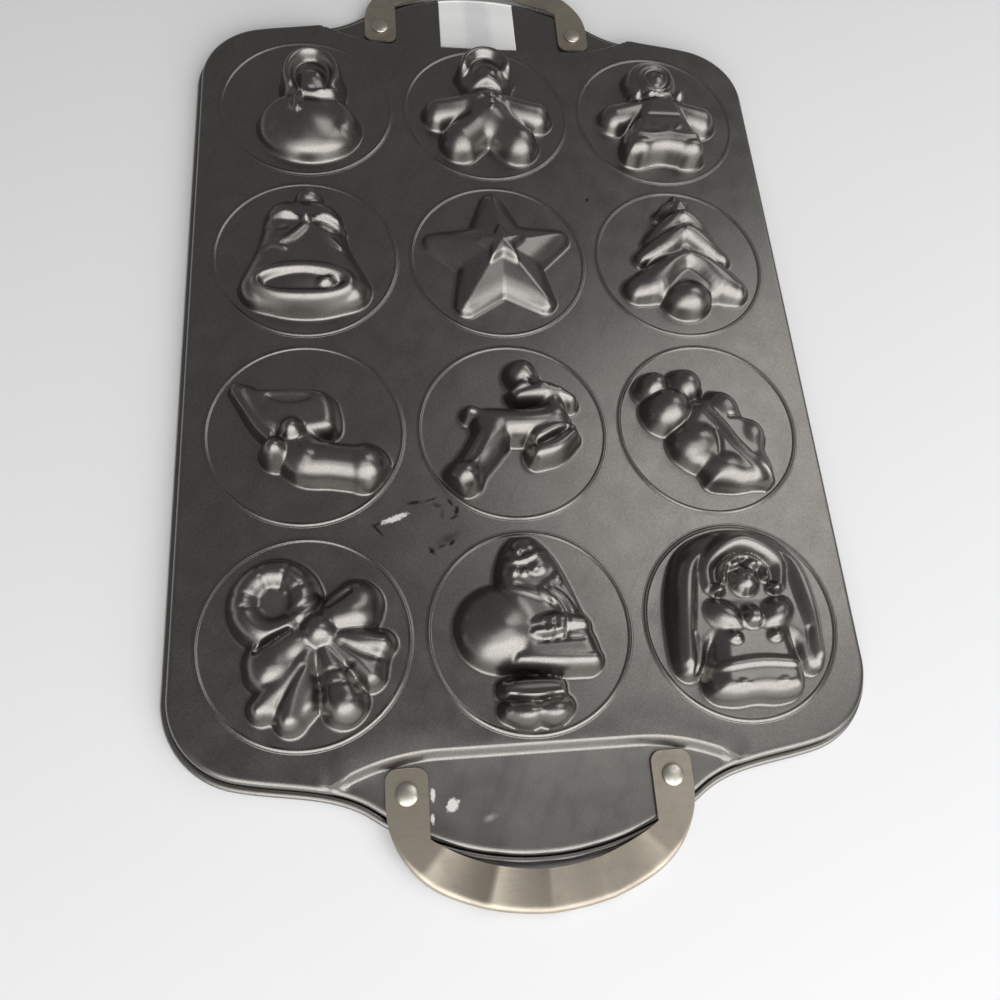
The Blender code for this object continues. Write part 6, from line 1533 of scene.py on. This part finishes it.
class CAKEPAN_OT_moulds(bpy.types.Operator):
    """Add the twelve shaped moulds with the rings round them"""

    bl_idname = "cakepan.moulds"
    bl_label = "Add Moulds"

    def execute(self, context):
        sizes, finish = context.scene.pan_sizes, context.scene.pan_finish
        coat = shared_finish("worn_coat", coat_finish, finish)
        for (name, rows), middle in zip(MOULDS.items(), mould_centres()):
            points, faces = mould_shell(rows, *middle)
            obj = piece(name, mesh_from(name, points, faces), coat, "dark_release_coat", "pan_sheet")
            thicken(obj, sizes.sheet)
        return {"FINISHED"}


class CAKEPAN_OT_wire(bpy.types.Operator):
    """Give the stiffening wire in the rolled edge its steel"""

    bl_idname = "cakepan.wire"
    bl_label = "Finish Rim Wire"

    def execute(self, context):
        mesh = bpy.data.objects["rim_wire"].data
        mesh.materials.clear()
        mesh.materials.append(shared_finish("drawn_wire", steel_finish))
        return {"FINISHED"}


class CAKEPAN_OT_handles(bpy.types.Operator):
    """Add the two fluted handles"""

    bl_idname = "cakepan.handles"
    bl_label = "Add Handles"

    def execute(self, context):
        sizes, finish = context.scene.pan_sizes, context.scene.pan_finish
        plate = shared_finish("drawn_plate", plate_finish, finish)
        for name, side in (("near_handle", -1), ("far_handle", 1)):
            mesh = handle_mesh("fluted_" + name, side, sizes)
            round_edges(piece("fluted_" + name, mesh, plate, "handle_plate", name))
        return {"FINISHED"}


class CAKEPAN_OT_rivets(bpy.types.Operator):
    """Add the four domed rivets"""

    bl_idname = "cakepan.rivets"
    bl_label = "Add Rivets"

    def execute(self, context):
        sizes, finish = context.scene.pan_sizes, context.scene.pan_finish
        plate = shared_finish("turned_plate", rivet_finish, finish)
        for end, along in (("near", -1), ("far", 1)):
            for hand, across in (("left", -1), ("right", 1)):
                name = f"{end}_{hand}_rivet"
                x, y = across * TAB_SPACING / 2, along * RIVET_Y
                mesh = rivet_mesh("turned_" + name, x, y, sizes.head_height)
                piece("turned_" + name, mesh, plate, "rivet_plate", name)
        return {"FINISHED"}


class CAKEPAN_OT_label(bpy.types.Operator):
    """Add the blank paper label on the far ledge"""

    bl_idname = "cakepan.label"
    bl_label = "Add Label"

    def execute(self, context):
        sizes, finish = context.scene.pan_sizes, context.scene.pan_finish
        paper = shared_finish("creased_paper", paper_finish, finish)
        mesh = label_mesh("creased_label", sizes.label_lift)
        thicken(piece("creased_label", mesh, paper, "label_paper", "blank_label"), LABEL_THICKNESS)
        return {"FINISHED"}


class CAKEPAN_OT_stage(bpy.types.Operator):
    """Add the table, the lamps, the surroundings and the camera"""

    bl_idname = "cakepan.stage"
    bl_label = "Add Stage"

    def execute(self, context):
        finish = context.scene.pan_finish
        corners = np.array([(-1, -1, 0), (1, -1, 0), (1, 1, 0), (-1, 1, 0)]) * TABLE_REACH
        mesh = mesh_from("table", corners, np.array([(0, 1, 2, 3)]))
        mesh.materials.append(shared_finish("pale_table", floor_finish, finish))
        in_scene("table", mesh)
        add_lamp("front_lamp", FRONT_PLACE, *FRONT_SIZE, finish.front_power)
        add_lamp("top_lamp", TOP_PLACE, *TOP_SIZE, finish.top_power)
        add_lamp("side_lamp", SIDE_PLACE, *SIDE_SIZE, finish.side_power)
        add_world(finish.world_level)
        add_camera()
        context.scene.view_settings.view_transform = "Standard"
        return {"FINISHED"}


class CAKEPAN_PT_panel(bpy.types.Panel):
    """Sizes, finishes and steps of the cake pan"""

    bl_idname = "CAKEPAN_PT_panel"
    bl_label = "Shaped Cake Pan"
    bl_space_type = "VIEW_3D"
    bl_region_type = "UI"
    bl_category = "Cake Pan"

    def draw(self, context):
        layout = self.layout
        for group in (context.scene.pan_sizes, context.scene.pan_finish):
            column = layout.column()
            for name in group.__annotations__:
                column.prop(group, name)
        for operator in OPERATORS:
            layout.operator(operator.bl_idname)


OPERATORS = (
    CAKEPAN_OT_deck,
    CAKEPAN_OT_moulds,
    CAKEPAN_OT_wire,
    CAKEPAN_OT_handles,
    CAKEPAN_OT_rivets,
    CAKEPAN_OT_label,
    CAKEPAN_OT_stage,
)
CLASSES = (PanSizes, PanFinish, *OPERATORS, CAKEPAN_PT_panel)


def register():
    for made in CLASSES:
        bpy.utils.register_class(made)
    bpy.types.Scene.pan_sizes = PointerProperty(type=PanSizes)
    bpy.types.Scene.pan_finish = PointerProperty(type=PanFinish)


def unregister():
    del bpy.types.Scene.pan_finish
    del bpy.types.Scene.pan_sizes
    for made in reversed(CLASSES):
        bpy.utils.unregister_class(made)


def main():
    """Makes the pan and its stage."""
    register()
    bpy.ops.cakepan.deck()
    bpy.ops.cakepan.moulds()
    bpy.ops.cakepan.wire()
    bpy.ops.cakepan.handles()
    bpy.ops.cakepan.rivets()
    bpy.ops.cakepan.label()
    bpy.ops.cakepan.stage()


if __name__ == "__main__":
    main()
